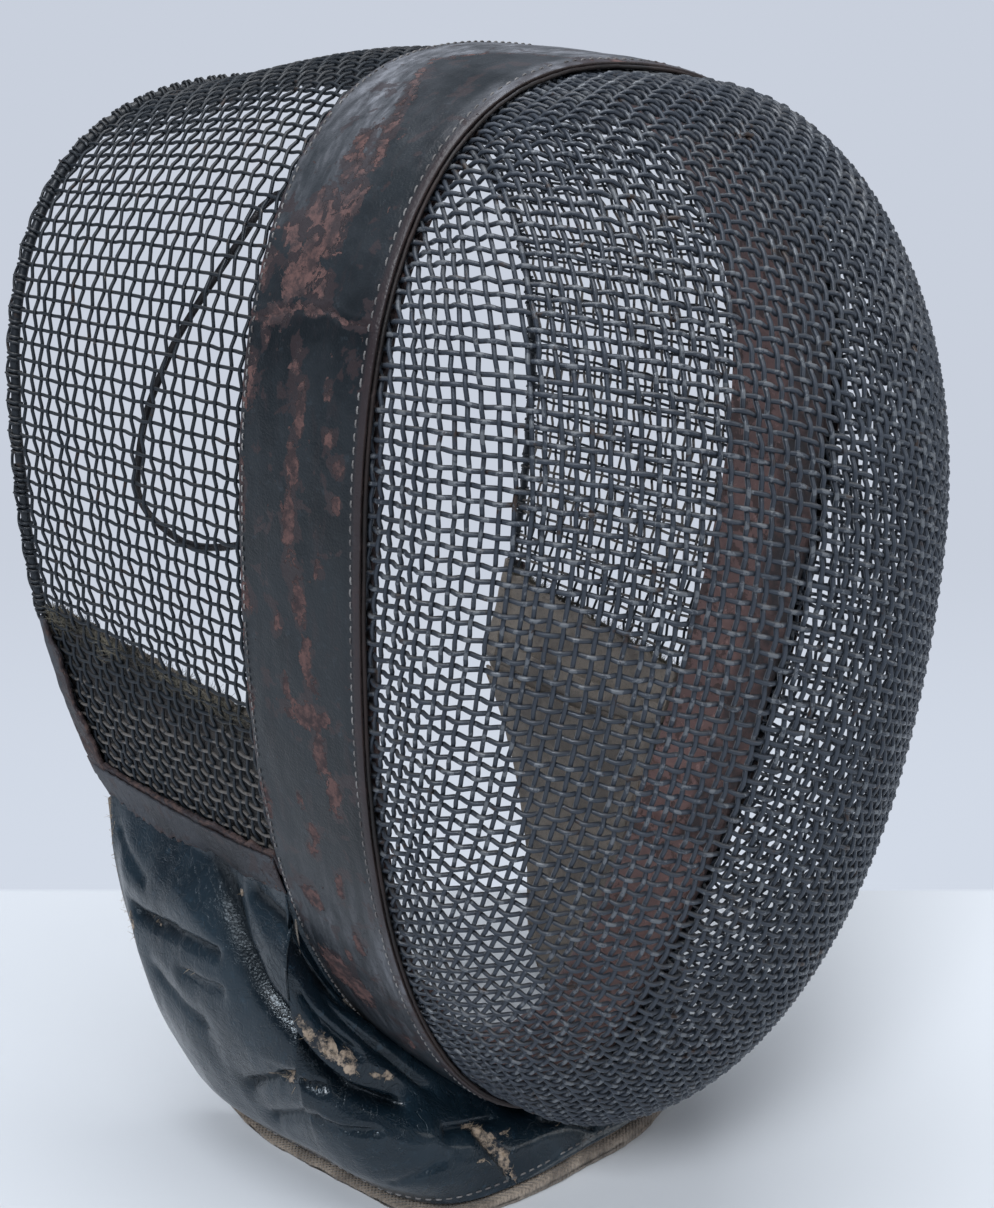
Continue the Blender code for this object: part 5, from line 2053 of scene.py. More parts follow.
@dataclass
class SideLeather:
    """The leather folded over the hood's lower edge, and over the foot of its rear edge."""
    wall: float = 1.2 * MM
    fold_width: float = 7.4 * MM
    gap: float = 0.3 * MM
    trim_start: float = 1.012
    trim_arm: float = 11.0 * MM
    binding_arms: tuple[float, float] = (6.0 * MM, 11.5 * MM)
    binding_proud: float = 0.5 * MM
    binding_heads: tuple[float, float] = (math.radians(105.25), math.radians(112.2))
    binding_foot: float = math.radians(125.0)
    fray: float = 1.0 * MM
    leather_share: float = 0.47

    def fold(self, v: Array, arm: Array) -> tuple[Array, Array]:
        """The folded strip's outer face, from its outer edge round the fold to its inner edge.

        Args:
            v: shares of the way across the strip.
            arm: the outer arm's length.

        Returns:
            How far through the wall and how far up each point lies.
        """
        radius = self.fold_width / 2
        bend = math.pi * radius * 0.8
        run = v * (1.8 * arm - 2.0 * radius + bend)
        turn = np.clip((run - arm + radius) / bend, 0.0, 1.0) * math.pi
        through = radius * (1.0 - np.cos(turn))
        below = np.where(turn > 0.0, radius * (0.55 * (1.0 - np.sin(turn)) + 0.45 * np.abs(np.cos(turn))),
                         arm - run)
        return through, below + np.maximum(run - arm + radius - bend, 0.0)

    def trim_face(self, side: int) -> Grid:
        """The strip along the hood's lower edge, on one side.

        Args:
            side: -1 for the near side and 1 for the far one.

        Returns:
            What gives the strip's points from two shares.
        """
        def face(u: Array, v: Array) -> Array:
            """Its outer face.

            Args:
                u: shares of the way along it.
                v: shares of the way across it.

            Returns:
                The points.
            """
            reaches = lerp(self.trim_start, 1.99, u)
            angles, inward, down = SHAPE.hood_frame(side, reaches)
            room = self.wall + self.gap
            edge = SHAPE.under(angles, reaches, SHAPE.hood_depth(reaches) - room) + down * room
            line = side_by_side(u * 0.1, 0.0, side * 0.05)
            arm = self.trim_arm + ripple(line, 3.0 * MM, 2.0) * self.fray
            through, up = self.fold(v, arm)
            puff = ripple(edge, 9.0 * MM, 1.0) * 0.25 * MM
            return edge + inward * (through - puff)[:, None] - down * up[:, None]
        return face

    def binding_face(self, side: int) -> Grid:
        """The strip round the foot of the rear edge, on one side.

        Args:
            side: -1 for the near side and 1 for the far one.

        Returns:
            What gives the strip's points from two shares.
        """
        def face(u: Array, v: Array) -> Array:
            """Its outer face.

            Args:
                u: shares of the way along it.
                v: shares of the way across it.

            Returns:
                The points.
            """
            angles = side * lerp(self.binding_heads[int(side > 0)], self.binding_foot, u)
            rear = np.full_like(u, 2.0)
            inward = SHAPE.inward(angles, rear)
            forward = unit(SHAPE.skin(angles, rear - 0.1) - SHAPE.skin(angles, rear))
            edge = SHAPE.under(angles, rear, SHAPE.hood_depth(rear) - self.wall - self.gap)
            line = side_by_side(u * 0.04, 1.0, side * 0.05)
            arm = lerp(*self.binding_arms, u ** 0.7) + ripple(line, 4.0 * MM, 4.0) * self.fray * 2.0
            through, up = self.fold(v, arm)
            through = through * (1.0 + 2.0 * self.binding_proud / self.fold_width) - self.binding_proud
            puff = ripple(edge, 7.0 * MM, 2.0) * 0.3 * MM
            return edge + inward * (through - puff)[:, None] + forward * up[:, None]
        return face

    def line_inside(self, strip: Piece) -> None:
        """Gives a folded strip's inner arm the look of the felt that it is sewn to.

        Args:
            strip: the strip, before its wall is added.
        """
        faces = strip.data.polygons
        for face in faces[int(len(faces) * self.leather_share):]:
            face.material_index = 1

    def make(self) -> None:
        """Makes the four strips and hands them over."""
        wear = {"wear": lambda u, v: 0.42 * bell(v, 0.09) + 0.18 + 0.16 * bell(u - 0.08, 0.12)}
        rubbed = {"wear": lambda u, v: 0.30 * bell(u - 0.8, 0.25) + 0.24 * bell(v, 0.12) + 0.20}
        for side, label in ((-1, "left"), (1, "right")):
            trim = lay_sheet(f"edge_trim_{label}", 130, 34, self.trim_face(side),
                             [TRIM_LEATHER, FELT_INNER], wear)
            self.line_inside(trim)
            thicken(trim, self.wall)
            hand_over(trim, Slot.TRIM, f"lower_trim_{label}")
            binding = lay_sheet(f"cheek_wrap_{label}", 60, 34, self.binding_face(side),
                                [TRIM_LEATHER, FELT_INNER], rubbed)
            self.line_inside(binding)
            thicken(binding, self.wall)
            hand_over(binding, Slot.TRIM, f"cheek_binding_{label}")


@dataclass(frozen=True)
class FeltPatch:
    """One felt patch inside the hood: its side, and the angles of its upper edge in degrees."""
    label: str
    side: int
    top_at_band: float
    top_at_rear: float


FELT_PATCHES = (FeltPatch("left", -1, 107.0, 104.4), FeltPatch("right", 1, 116.5, 113.5))


@dataclass
class CheekFelt:
    """The felt patches inside the lower hood, with their fuzzy upper edges."""
    start: float = 1.01
    thickness: float = 2.0 * MM
    clearance: float = 2.1 * MM
    foot: float = math.radians(0.35)
    fibres: int = 2100
    tuft: int = 330
    fibre_radius: float = 0.08 * MM
    olive_rows: int = 3
    seed: int = 41

    def spot(self, patch: FeltPatch, u: Array, v: Array, lift: float = 0.0) -> Array:
        """A point of a patch's outer face.

        Args:
            patch: the patch.
            u: shares of the way along it.
            v: shares of the way across it.
            lift: how far outside its face the point lies.

        Returns:
            The points.
        """
        rim_room = SHAPE.rim_inset + 2.4 * MM + 0.3 * MM
        reaches = lerp(self.start, SHAPE.rear_reach(rim_room), u)
        top = np.radians(lerp(patch.top_at_band, patch.top_at_rear, reaches - 1.0))
        line = side_by_side(u * 0.1, 0.0, patch.side * 0.1)
        top = top + ripple(line, 7.0 * MM, 3.0) * 0.008 * (1.0 - v)
        angles = lerp(top, SHAPE.hood_end(reaches) - self.foot, v)
        flat = side_by_side(u * 0.1, v * 0.06, patch.side)
        sag = np.abs(ripple(flat, 14.0 * MM, 5.0)) * 0.5 * MM
        return SHAPE.under(patch.side * angles, reaches,
                           SHAPE.hood_depth(reaches) + self.clearance + sag - lift)

    def make(self) -> None:
        """Makes both patches and their fuzz, and hands them over."""
        random = np.random.default_rng(self.seed)
        for patch in FELT_PATCHES:
            piece = lay_sheet(f"cheek_felt_{patch.label}", 90, 44,
                              lambda u, v, patch=patch: self.spot(patch, u, v), [FELT_OUTER, FELT_INNER])
            for face in piece.data.polygons[:90 * self.olive_rows]:
                face.material_index = 1
            flat, area = flat_size(piece, 90, 44)
            thicken(piece, self.thickness, inner_slot=1, edge_slot=1, rounding=0.3 * MM)
            hand_over(piece, Slot.FELT, f"cheek_lining_{patch.label}")
            fuzz = draw_strands(f"felt_fuzz_{patch.label}", self.fuzz(patch, random), self.fibre_radius,
                                OLIVE_FIBRE, 0)
            hand_over(fuzz, Slot.FELT)

    def fuzz(self, patch: FeltPatch, random: np.random.Generator) -> list[Strand]:
        """Short fibres along the patch's upper edge.

        Args:
            patch: the patch.
            random: the source of chance.

        Returns:
            The fibres.
        """
        starts = np.concatenate([random.uniform(0.0, 1.0, self.fibres),
                                 1.0 - np.abs(random.normal(0.0, 0.09, self.tuft))]).clip(0.0, 1.0)
        downs = np.abs(random.normal(0.0, 0.05, len(starts)))
        roots = self.spot(patch, starts, downs, lift=random.uniform(-0.6, 1.7, len(starts)) * MM)
        made = []
        for root in roots:
            way = np.array((random.normal(0.0, 0.5), random.normal(0.0, 0.6),
                            0.7 + random.normal(0.0, 0.35)))
            length = random.uniform(1.0, 4.2) * MM
            made.append(fibre(root, unit(way), length, random.normal(0.0, 0.25, 3)))
        return made


def flat_size(piece: Piece, across: int, down: int) -> tuple[tuple[float, float], float]:
    """The flat size of a sheet, before its wall is added.

    Args:
        piece: the sheet.
        across: how many faces it has along its first direction.
        down: how many faces it has along its second direction.

    Returns:
        Its width and length, and its area.
    """
    spots = coordinates(piece.data).reshape(down + 1, across + 1, 3)
    width = np.linalg.norm(np.diff(spots, axis=1), axis=2).sum(axis=1).max()
    length = np.linalg.norm(np.diff(spots, axis=0), axis=2).sum(axis=0).max()
    area = sum(face.area for face in piece.data.polygons)
    return (float(width), float(length)), float(area)


@dataclass(frozen=True)
class BibFold:
    """One line down the bib: where it meets the floor, and its shape, in millimetres."""
    along: float
    floor_x: float
    floor_y: float
    belly: float
    lift: float
    roll: float
    valley: float


BIB_FOLDS = tuple(BibFold(*row) for row in (
    (-1.00, -70.5, 117.0, 8.5, 17.0, 2.0, -0.40), (-0.90, -66.5, 105.0, 12.0, 3.5, 2.0, -0.30),
    (-0.80, -65.0, 90.0, 13.0, 0.0, 2.0, -0.15), (-0.68, -62.5, 73.0, 12.0, 0.0, 2.2, 0.00),
    (-0.56, -59.5, 55.0, 11.0, 0.0, 2.4, 0.20), (-0.44, -56.0, 37.0, 9.0, 0.0, 2.8, 0.34),
    (-0.32, -46.0, 23.0, 7.0, 0.0, 3.4, 0.42), (-0.16, -25.0, 15.5, 5.0, 0.0, 4.2, 0.48),
    (0.00, -2.0, 12.5, 4.5, 0.0, 5.2, 0.50), (0.16, 20.0, 11.0, 5.0, 0.0, 5.8, 0.48),
    (0.32, 41.0, 16.5, 7.0, 0.0, 5.2, 0.42), (0.44, 54.0, 31.0, 9.0, 0.0, 4.0, 0.34),
    (0.56, 58.5, 49.0, 11.0, 0.0, 3.0, 0.20), (0.68, 61.0, 66.0, 12.0, 0.0, 2.4, 0.00),
    (0.80, 63.0, 77.0, 12.0, 0.0, 2.2, -0.15), (0.90, 65.5, 92.0, 11.0, 3.5, 2.0, -0.30),
    (1.00, 70.0, 104.0, 8.0, 17.0, 2.0, -0.40),))


@dataclass(frozen=True)
class Crease:
    """A fold in the bib's leather, from one place to another, with its depth and width in millimetres."""
    along: float
    down: float
    to_along: float
    to_down: float
    depth: float
    width: float


BIB_CREASES = tuple(Crease(*row) for row in (
    (-0.757, -0.02, -0.697, 0.10, 5.6, 6.0), (-0.697, 0.10, -0.660, 0.20, 6.4, 6.5),
    (-0.660, 0.20, -0.620, 0.30, 6.4, 6.5), (-0.620, 0.30, -0.560, 0.39, 6.0, 6.5),
    (-0.560, 0.39, -0.470, 0.45, 5.2, 6.0), (-0.470, 0.45, -0.380, 0.47, 4.2, 6.0),
    (-0.930, 0.31, -0.860, 0.28, 3.4, 4.0), (-0.860, 0.28, -0.800, 0.262, 3.2, 4.0),
    (-0.800, 0.262, -0.700, 0.25, 2.6, 4.0), (-0.790, 0.36, -0.690, 0.345, 1.5, 3.0),
    (-0.880, 0.44, -0.760, 0.50, 1.5, 4.5), (-0.691, 0.66, -0.600, 0.56, 2.4, 3.6),
    (-0.600, 0.56, -0.500, 0.48, 3.0, 3.8), (-0.660, 0.76, -0.520, 0.62, 1.8, 4.0),
    (-0.520, 0.62, -0.420, 0.58, 1.4, 4.0), (-0.300, 0.60, -0.170, 0.57, 2.0, 3.6),
    (-0.240, 0.58, -0.190, 0.92, 1.6, 3.0), (-0.060, 0.72, 0.040, 0.90, 2.2, 4.0),
    (0.020, 0.60, 0.110, 0.80, 1.8, 4.0), (-0.640, 0.07, -0.555, 0.11, 4.0, 4.0),
    (-0.555, 0.11, -0.440, 0.09, 4.0, 4.0), (-0.520, 0.22, -0.440, 0.27, 2.4, 4.0),
    (-0.500, 0.08, -0.400, 0.24, 2.0, 4.0), (-0.400, 0.24, -0.300, 0.36, 1.8, 4.5),
    (-0.970, 0.12, -0.880, 0.17, 1.2, 3.4), (-0.420, 0.84, -0.330, 0.74, 1.0, 4.0),
    (-0.640, 0.16, -0.600, 0.24, 1.4, 2.6),))

TEARS = tuple(WearPatch(*row) for row in (
    (-0.515, 0.318, 6.4, 4.2, 0.98), (-0.478, 0.318, 6.0, 4.2, 0.96), (-0.446, 0.336, 3.8, 5.6, 0.92),
    (-0.405, 0.362, 5.0, 1.4, 0.76), (-0.385, 0.348, 2.4, 2.8, 0.76), (-0.585, 0.545, 2.6, 1.9, 0.85),
    (-0.600, 0.565, 9.0, 0.7, 0.64), (-0.545, 0.512, 6.0, 0.7, 0.64), (-0.222, 0.64, 3.6, 6.0, 1.00),
    (-0.208, 0.73, 4.2, 6.0, 1.00), (-0.190, 0.84, 3.0, 6.5, 0.96), (-0.232, 0.59, 6.4, 1.8, 0.90),
    (-0.170, 0.70, 5.0, 1.6, 0.84), (-0.180, 0.94, 1.8, 4.4, 0.84), (-0.240, 0.80, 3.8, 1.3, 0.80),
    (-0.672, 0.088, 2.6, 1.2, 0.74), (-0.762, 0.335, 6.0, 0.6, 0.62), (-0.715, 0.350, 4.0, 0.5, 0.60),
    (-0.948, 0.38, 2.0, 6.0, 0.85), (-0.880, 0.292, 7.0, 0.7, 0.64), (-0.045, 0.80, 3.4, 0.7, 0.64),
    (0.300, 0.50, 5.0, 2.0, 0.74), (0.620, 0.42, 6.0, 3.0, 0.80), (0.880, 0.55, 2.0, 5.0, 0.78),))


@dataclass
class Bib:
    """The padded bib: glossy leather in front, canvas behind, and a rolled canvas edge it stands on."""
    band_share: float = 0.56
    proud: float = 0.6 * MM
    corner: float = math.radians(124.4)
    trim_start: float = 1.012
    end: float = 1.955
    top_depth: float = 1.2 * MM
    below_trim: float = 1.8 * MM
    gap: float = 0.3 * MM
    pad_thickness: float = 8.0 * MM
    pad_edge: float = 2.6 * MM
    canvas: float = 1.2 * MM
    canvas_gap: float = 1.1 * MM
    layer_step: float = 0.35
    slope_span: float = 0.22
    corner_along: float = 0.47
    corner_span: float = 0.14
    corner_ease: float = 3.0 * MM
    dent: float = 3.0 * MM
    dent_span: float = 0.13
    least_padding: float = 1.1 * MM
    lobe: float = 3.2
    crease_scale: float = 1.7
    puff: float = 4.2 * MM
    tuck_share: float = 0.04
    tuck_reach: float = 0.90
    tuck_depth: float = 2.7 * MM
    tuck_rise: float = 1.4 * MM
    canvas_top: float = 0.015
    roll_width: float = 5.2 * MM
    roll_turn: float = math.radians(62.0)
    roll_turn_start: float = 0.82
    along_unit: float = 262.0
    down_unit: float = 92.0
    across: int = 300
    down: int = 84
    stitch_pitch: float = 3.1 * MM
    stitch_down: float = 0.955
    stitch_radius: float = 0.28 * MM
    fibre_radius: float = 0.06 * MM
    flap_thickness: float = 0.6 * MM
    rear_fibres: int = 260
    seed: int = 17

    def fold(self, along: Array) -> dict[str, Array]:
        """The folds' values anywhere along the bib, on smooth curves through the table's rows.

        Args:
            along: places along the bib.

        Returns:
            Each value by its name.
        """
        names = [item.name for item in fields(BibFold)]
        table = np.array([astuple(row) for row in BIB_FOLDS])
        columns = np.moveaxis(glide(table[:, 0], table[:, 1:], along), -1, 0)
        made = dict(zip(names[1:], columns))
        made["lift"] = np.maximum(made["lift"], 0.0)
        return made

    def trim_frame(self, along: Array) -> tuple[Array, ...]:
        """The hood's lower edge beside the bib.

        Args:
            along: places along the bib.

        Returns:
            The edge's angles and reaches, and the unit directions inwards and down from it.
        """
        side = np.where(along < 0.0, -1.0, 1.0)
        reach = lerp(self.trim_start, self.end,
                     np.maximum(np.abs(along) - self.band_share, 0.0) / (1.0 - self.band_share))
        angle, inward, down = SHAPE.hood_frame(side, reach)
        return angle, reach, inward, down

    def top(self, along: Array, tuck: float = 0.0) -> Array:
        """The bib's top edge: behind the band round the chin, then below the hood's lower edge.

        Args:
            along: places along the bib.
            tuck: 1 for the hidden edge, under the band and in the trim, and 0 for the sewn line.

        Returns:
            The edge's points.
        """
        side = np.where(along < 0.0, -1.0, 1.0)
        angle = side * lerp(math.pi, self.corner, np.minimum(np.abs(along) / self.band_share, 1.0))
        back = unit(SHAPE.skin(angle, 1.0) - SHAPE.skin(angle, 0.9))
        sewn = SHAPE.under(angle, 1.0, -self.proud) + back * 4.0 * self.gap
        sewn = lerp(sewn, SHAPE.under(angle, self.tuck_reach, self.tuck_depth), tuck)
        edge_angle, reach, inward, down = self.trim_frame(along)
        hung = SHAPE.under(edge_angle, reach, self.top_depth) + down * self.below_trim
        hung = hung + (inward * 0.5 - down) * self.tuck_rise * tuck
        return np.where((np.abs(along) <= self.band_share)[..., None], sewn, hung)

    def foot(self, along: Array) -> Array:
        """Where the fold lines end above the floor.

        Args:
            along: places along the bib.

        Returns:
            The points.
        """
        fold = self.fold(along)
        height = (fold["roll"] + fold["lift"]) * MM + self.gap + self.pad_edge * 0.5
        return side_by_side(fold["floor_x"] * MM, fold["floor_y"] * MM + SHAPE.place[1], height)

    def outward(self, along: Array, down: Array) -> Array:
        """The unit directions out of the bib, from its neighbouring fold lines.

        Args:
            along: places along the bib.
            down: places down the bib.

        Returns:
            The directions.
        """
        before, after = np.maximum(along - self.slope_span, -1.0), np.minimum(along + self.slope_span, 1.0)
        share = down[..., None]
        run = (lerp(self.top(after), self.foot(after), share)
               - lerp(self.top(before), self.foot(before), share))
        return unit(np.cross(self.foot(along) - self.top(along), run))

    def thickness(self, along: Array, down: Array) -> Array:
        """The padding's thickness, thin at the sewn edges.

        Args:
            along: places along the bib.
            down: places down the bib.

        Returns:
            The thicknesses in metres.
        """
        across = np.sin(math.pi * np.clip(down, 0.0, 1.0)) ** 0.8
        rear = lerp(0.35, 1.0, smooth(1.0, 0.86, np.abs(along)))
        return lerp(self.pad_edge, self.pad_thickness, across * rear)

    def creased(self, along: Array, down: Array) -> Array:
        """How deep the leather is drawn in: a sharp valley at each crease, and round lobes between them.

        Args:
            along: places along the bib.
            down: places down the bib.

        Returns:
            The depths in metres.
        """
        u, v = along * self.along_unit, down * self.down_unit
        groove = np.zeros_like(along)
        for crease in BIB_CREASES:
            start = (crease.along * self.along_unit, crease.down * self.down_unit)
            end = (crease.to_along * self.along_unit, crease.to_down * self.down_unit)
            away = segment_distance(u, v, start, end)
            if crease.along < -0.1:
                away = np.minimum(away, segment_distance(6.0 - u, v, start, end))
            slope = np.clip(1.0 - away / (self.lobe * crease.width), 0.0, 1.0) ** 2
            groove = np.maximum(groove, crease.depth * lerp(slope, bell(away, 0.36 * crease.width), 0.45))
        return groove * MM * smooth(0.0, 0.05, down) * smooth(1.0, 0.93, down)

    def point(self, along: Array, down: Array, depth: Array, dressed: bool) -> Array:
        """Points of the bib.

        Args:
            along: places along it.
            down: places down it; above 0 the leather is tucked under the band.
            depth: how far below its outer face they lie.
            dressed: whether creases and wrinkles are drawn in.

        Returns:
            The points, kept above the rolled edge.
        """
        tuck = np.clip(-down / self.tuck_share, 0.0, 1.0)
        down = np.maximum(down, 0.0)
        fold = self.fold(along)
        thickness = self.thickness(along, down)
        edges = (smooth(0.0, 0.2, down) * smooth(1.0, 0.8, down)
                 * lerp(0.25, 1.0, smooth(1.0, 0.93, np.abs(along))))
        dent = self.dent * bell(down - fold["valley"], self.dent_span) * edges
        drawn = dent * (1.0 - np.minimum(depth / self.pad_edge, 1.0))
        if dressed:
            place = side_by_side(along * self.along_unit, down * self.down_unit * 0.7, 0.0) * MM
            soft = ripple(place, 26.0 * MM, 3.0, 2) * 0.55 + ripple(place, 6.0 * MM, 5.0, 3) * 0.12
            drawn = drawn + self.crease_scale * self.creased(along, down) - (soft * MM + self.puff) * edges
            room = thickness - self.least_padding
            drawn = np.where(drawn > 0.0, room * np.tanh(drawn / room), drawn)
        swell = fold["belly"] * MM * arch(down) - drawn - depth
        point = lerp(self.top(along), self.foot(along), down[..., None])
        outward = self.outward(along, down)
        point = point + outward * swell[..., None]
        corner = bell(np.abs(along) - self.corner_along, self.corner_span)
        point[..., 1] += self.corner_ease * corner * smooth(0.0, self.canvas_gap, depth - thickness)
        layers = thickness + self.canvas_gap + self.canvas
        floor = fold["roll"] * MM + self.gap + self.layer_step * (layers - depth)
        point[..., 2] = np.maximum(point[..., 2], floor)
        if np.any(tuck > 0.0):
            hidden = self.top(along, 1.0) - outward * np.minimum(depth, 1.2 * MM)[..., None]
            point = lerp(point, hidden, tuck[..., None])
        return point

    def tears(self, u: Array, v: Array) -> Array:
        """Where the leather is torn to the padding, or rubbed through at its rear edges.

        Args:
            u: shares of the way along it.
            v: shares of the way across it.

        Returns:
            The mask, 0 to 1.
        """
        along = lerp(-1.0, 1.0, u)
        mask = np.full_like(u, 0.08)
        for tear in TEARS:
            far = np.hypot((along - tear.angle) * self.along_unit / tear.length,
                           (v - tear.reach) * self.down_unit / tear.width)
            mask = np.maximum(mask, tear.strength * np.exp(-far ** 2 * 0.8))
        rear = 0.50 * bell(1.0 - np.abs(along), 0.006)
        return np.maximum(mask, rear)

    def film(self, u: Array, v: Array) -> Array:
        """A grey bloom where the leather is rubbed along the lower edge."""
        return 0.30 * bell(v - 1.0, 0.03) + u * 0.0

    def shade(self, u: Array, v: Array) -> Array:
        """Painted shade deep in the folds: how far the colour is darkened and the coat thinned there."""
        return 0.95 * smooth(1.1 * MM, 3.4 * MM, self.creased(lerp(-1.0, 1.0, u), v))

    def make(self) -> None:
        """Makes the bib's layers, its edge, stitches and fibres, and hands them over."""
        self.make_pad()
        self.make_backing()
        self.make_roll()
        self.make_flaps()
        hand_over(draw_strands("bib_stitches", self.stitches(), self.stitch_radius, PALE_THREAD), Slot.PAD)
        hand_over(draw_strands("bib_tear_fibres", self.fibres(), self.fibre_radius, TAN_FIBRE, 0),
                  Slot.CANVAS)

    def make_pad(self) -> None:
        """The padded leather, tucked under the band and the trim along its top."""
        def face(u: Array, v: Array, outer: bool) -> Array:
            """Its outer or inner face.

            Args:
                u: shares of the way along it.
                v: shares of the way across it.
                outer: whether it is the outer one.

            Returns:
                The points.
            """
            along, down = lerp(-1.0, 1.0, u), lerp(-self.tuck_share, 1.0, v)
            depth = np.zeros_like(u) if outer else self.thickness(along, np.maximum(down, 0.0))
            return self.point(along, down, depth, dressed=outer)

        def painted(mask: Grid) -> Grid:
            """A mask on the pad's own shares."""
            return lambda u, v: mask(u, np.maximum(lerp(-self.tuck_share, 1.0, v), 0.0))

        # The shade mask is painted shade, darker deep in the folds.
        masks = {"wear": self.tears, "grey": self.film, "shade": self.shade}
        pad = lay_pad("bib_leather", self.across, self.down, lambda u, v: face(u, v, True),
                      lambda u, v: face(u, v, False), [PAD_LEATHER, FELT_INNER],
                      {name: painted(mask) for name, mask in masks.items()})
        hand_over(pad, Slot.PAD, "bib_pad")

    def flap_face(self, side: float) -> Grid:
        """The flap of the lower trim, from over the trim down on to the bib, wider towards the band.

        Args:
            side: -1 for the near side and 1 for the far one.

        Returns:
            What gives the flap's points from two shares.
        """
        def face(u: Array, v: Array) -> Array:
            """Its outer face.

            Args:
                u: shares of the way along it.
                v: shares of the way across it.

            Returns:
                The points.
            """
            along = side * lerp(self.band_share + 0.002, 1.0, u)
            angle, reach, inward, down = self.trim_frame(along)
            room = 1.5 * MM
            edge = SHAPE.under(angle, reach, SHAPE.hood_depth(reach) - room) + down * room
            line = side_by_side(u * 0.12, 0.0, side)
            ragged = ripple(line, 3.0 * MM, 2.0) * 0.008 + ripple(line, 15.0 * MM, 6.0) * 0.005
            end = lerp(0.020, 0.034, smooth(0.0, 0.25, u)) + ragged
            rows = (edge - down * (9.4 * MM + ragged * 60.0 * MM)[:, None] - inward * 0.75 * MM,
                    edge - down * 1.5 * MM - inward * 1.3 * MM,
                    self.point(along, end * 0.4, np.full_like(u, -1.3 * MM), True),
                    self.point(along, end, np.full_like(u, -0.5 * MM), True))
            w = v[:, None]
            return ((1 - w) ** 3 * rows[0] + 3 * (1 - w) ** 2 * w * rows[1]
                    + 3 * (1 - w) * w ** 2 * rows[2] + w ** 3 * rows[3])
        return face

    def make_flaps(self) -> None:
        """The two flaps of trim leather over the bib's sewn edge."""
        worn = {"wear": lambda u, v: 0.30 * bell(v - 1.0, 0.12) + 0.20 * bell(u, 0.12) + 0.14}
        for side, label in ((-1.0, "left"), (1.0, "right")):
            flap = lay_sheet(f"trim_flap_{label}", 150, 18, self.flap_face(side), [TRIM_LEATHER], worn,
                             middle=NECK_MIDDLE)
            thicken(flap, self.flap_thickness, rounding=0.15 * MM)
            hand_over(flap, Slot.TRIM)

    def make_backing(self) -> None:
        """The canvas behind the padding."""
        def face(u: Array, v: Array) -> Array:
            """Its outer face.

            Args:
                u: shares of the way along it.
                v: shares of the way across it.

            Returns:
                The points.
            """
            along, down = lerp(-1.0, 1.0, u), lerp(self.canvas_top, 1.0, v)
            place = side_by_side(along * 0.26, down * 0.09, 1.0)
            puckers = np.abs(ripple(place, 11.0 * MM, 4.0)) * 0.5 * MM * arch(v)
            return self.point(along, down, self.thickness(along, down) + self.canvas_gap + puckers, False)

        backing = lay_sheet("bib_canvas", 220, 46, face, [CANVAS, FELT_INNER], middle=NECK_MIDDLE)
        flat, area = flat_size(backing, 220, 46)
        thicken(backing, self.canvas, inner_slot=1, rounding=0.2 * MM)
        hand_over(backing, Slot.CANVAS, "bib_backing")

    def roll_stations(self) -> tuple[Array, Array, Array, Array]:
        """The rolled edge's sections: base, sideways and upward directions, and height.

        Returns:
            The base, the unit directions sideways and up, and the heights.
        """
        layer = self.thickness(np.array([1.0]), np.array([1.0])) + self.canvas_gap + self.canvas
        parts = []
        for side, downs in ((-1.0, np.linspace(0.05, 0.9, 14)), (1.0, np.linspace(0.9, 0.05, 14))):
            at = np.full_like(downs, side)
            middle = self.point(at, downs, np.full_like(downs, float(layer[0]) / 2), False)
            outward = self.outward(at, downs)
            ends = [self.point(at, downs + shift, np.full_like(downs, float(layer[0]) / 2), False)
                    for shift in (-0.04, 0.04)]
            rearward = unit(np.cross(outward, ends[1] - ends[0])) * side
            height = self.fold(at)["roll"] * MM
            parts.append((middle + rearward * (self.gap + height)[:, None], outward, -rearward, height))
        alongs = np.linspace(-1.0, 1.0, 150)
        before = self.foot(np.maximum(alongs - 0.02, -1.0))
        after = self.foot(np.minimum(alongs + 0.02, 1.0))
        run = unit((after - before) * np.array((1.0, 1.0, 0.0)))
        aside = side_by_side(run[:, 1], -run[:, 0], 0.0)
        side = np.where(alongs < 0.0, -1.0, 1.0)[:, None]
        turn = (smooth(self.roll_turn_start, 1.0, np.abs(alongs)) * self.roll_turn)[:, None]
        below = np.array((0.0, 0.0, -1.0)) * np.cos(turn) + run * side * np.sin(turn)
        fold = self.fold(alongs)
        height = fold["roll"] * MM
        foot = self.foot(alongs)
        foot[:, 2] = (fold["roll"] + fold["lift"]) * MM
        base = foot + below * height[:, None] - aside * self.roll_width * 0.25
        parts.insert(1, (base, aside, -below, height))
        return tuple(np.concatenate(column) for column in zip(*parts))

    def make_roll(self) -> None:
        """The rolled canvas edge, from the near rear edge round the floor to the far one."""
        base, aside, up, height = self.roll_stations()
        steps = np.linspace(0.0, 1.0, len(base))

        def read(values: Array, u: Array) -> Array:
            """Values between the stations.

            Args:
                values: the stations' values.
                u: shares of the way along it.

            Returns:
                The values there.
            """
            if values.ndim == 1:
                return np.interp(u, steps, values)
            return side_by_side(*(np.interp(u, steps, column) for column in values.T))

        def face(u: Array, v: Array) -> Array:
            """A round-cornered section with a flat foot, a little lumpy.

            Args:
                u: shares of the way along it.
                v: shares of the way across it.

            Returns:
                The points.
            """
            turn = v * 2.0 * math.pi
            across = np.copysign(np.abs(np.cos(turn)) ** 0.75, np.cos(turn)) * 0.5
            rise = np.copysign(np.abs(np.sin(turn)) ** 0.75, np.sin(turn)) * 0.5 + 0.5
            centre = read(base, u)
            lumps = 1.0 + ripple(side_by_side(u * 0.6, v * 0.004, 0.0), 9.0 * MM, 7.0) * 0.16
            sideways = read(aside, u) * (across * lumps * self.roll_width)[:, None]
            point = centre + sideways + read(up, u) * (rise * read(height, u))[:, None]
            point[..., 2] = np.maximum(point[..., 2], 0.0)
            return point

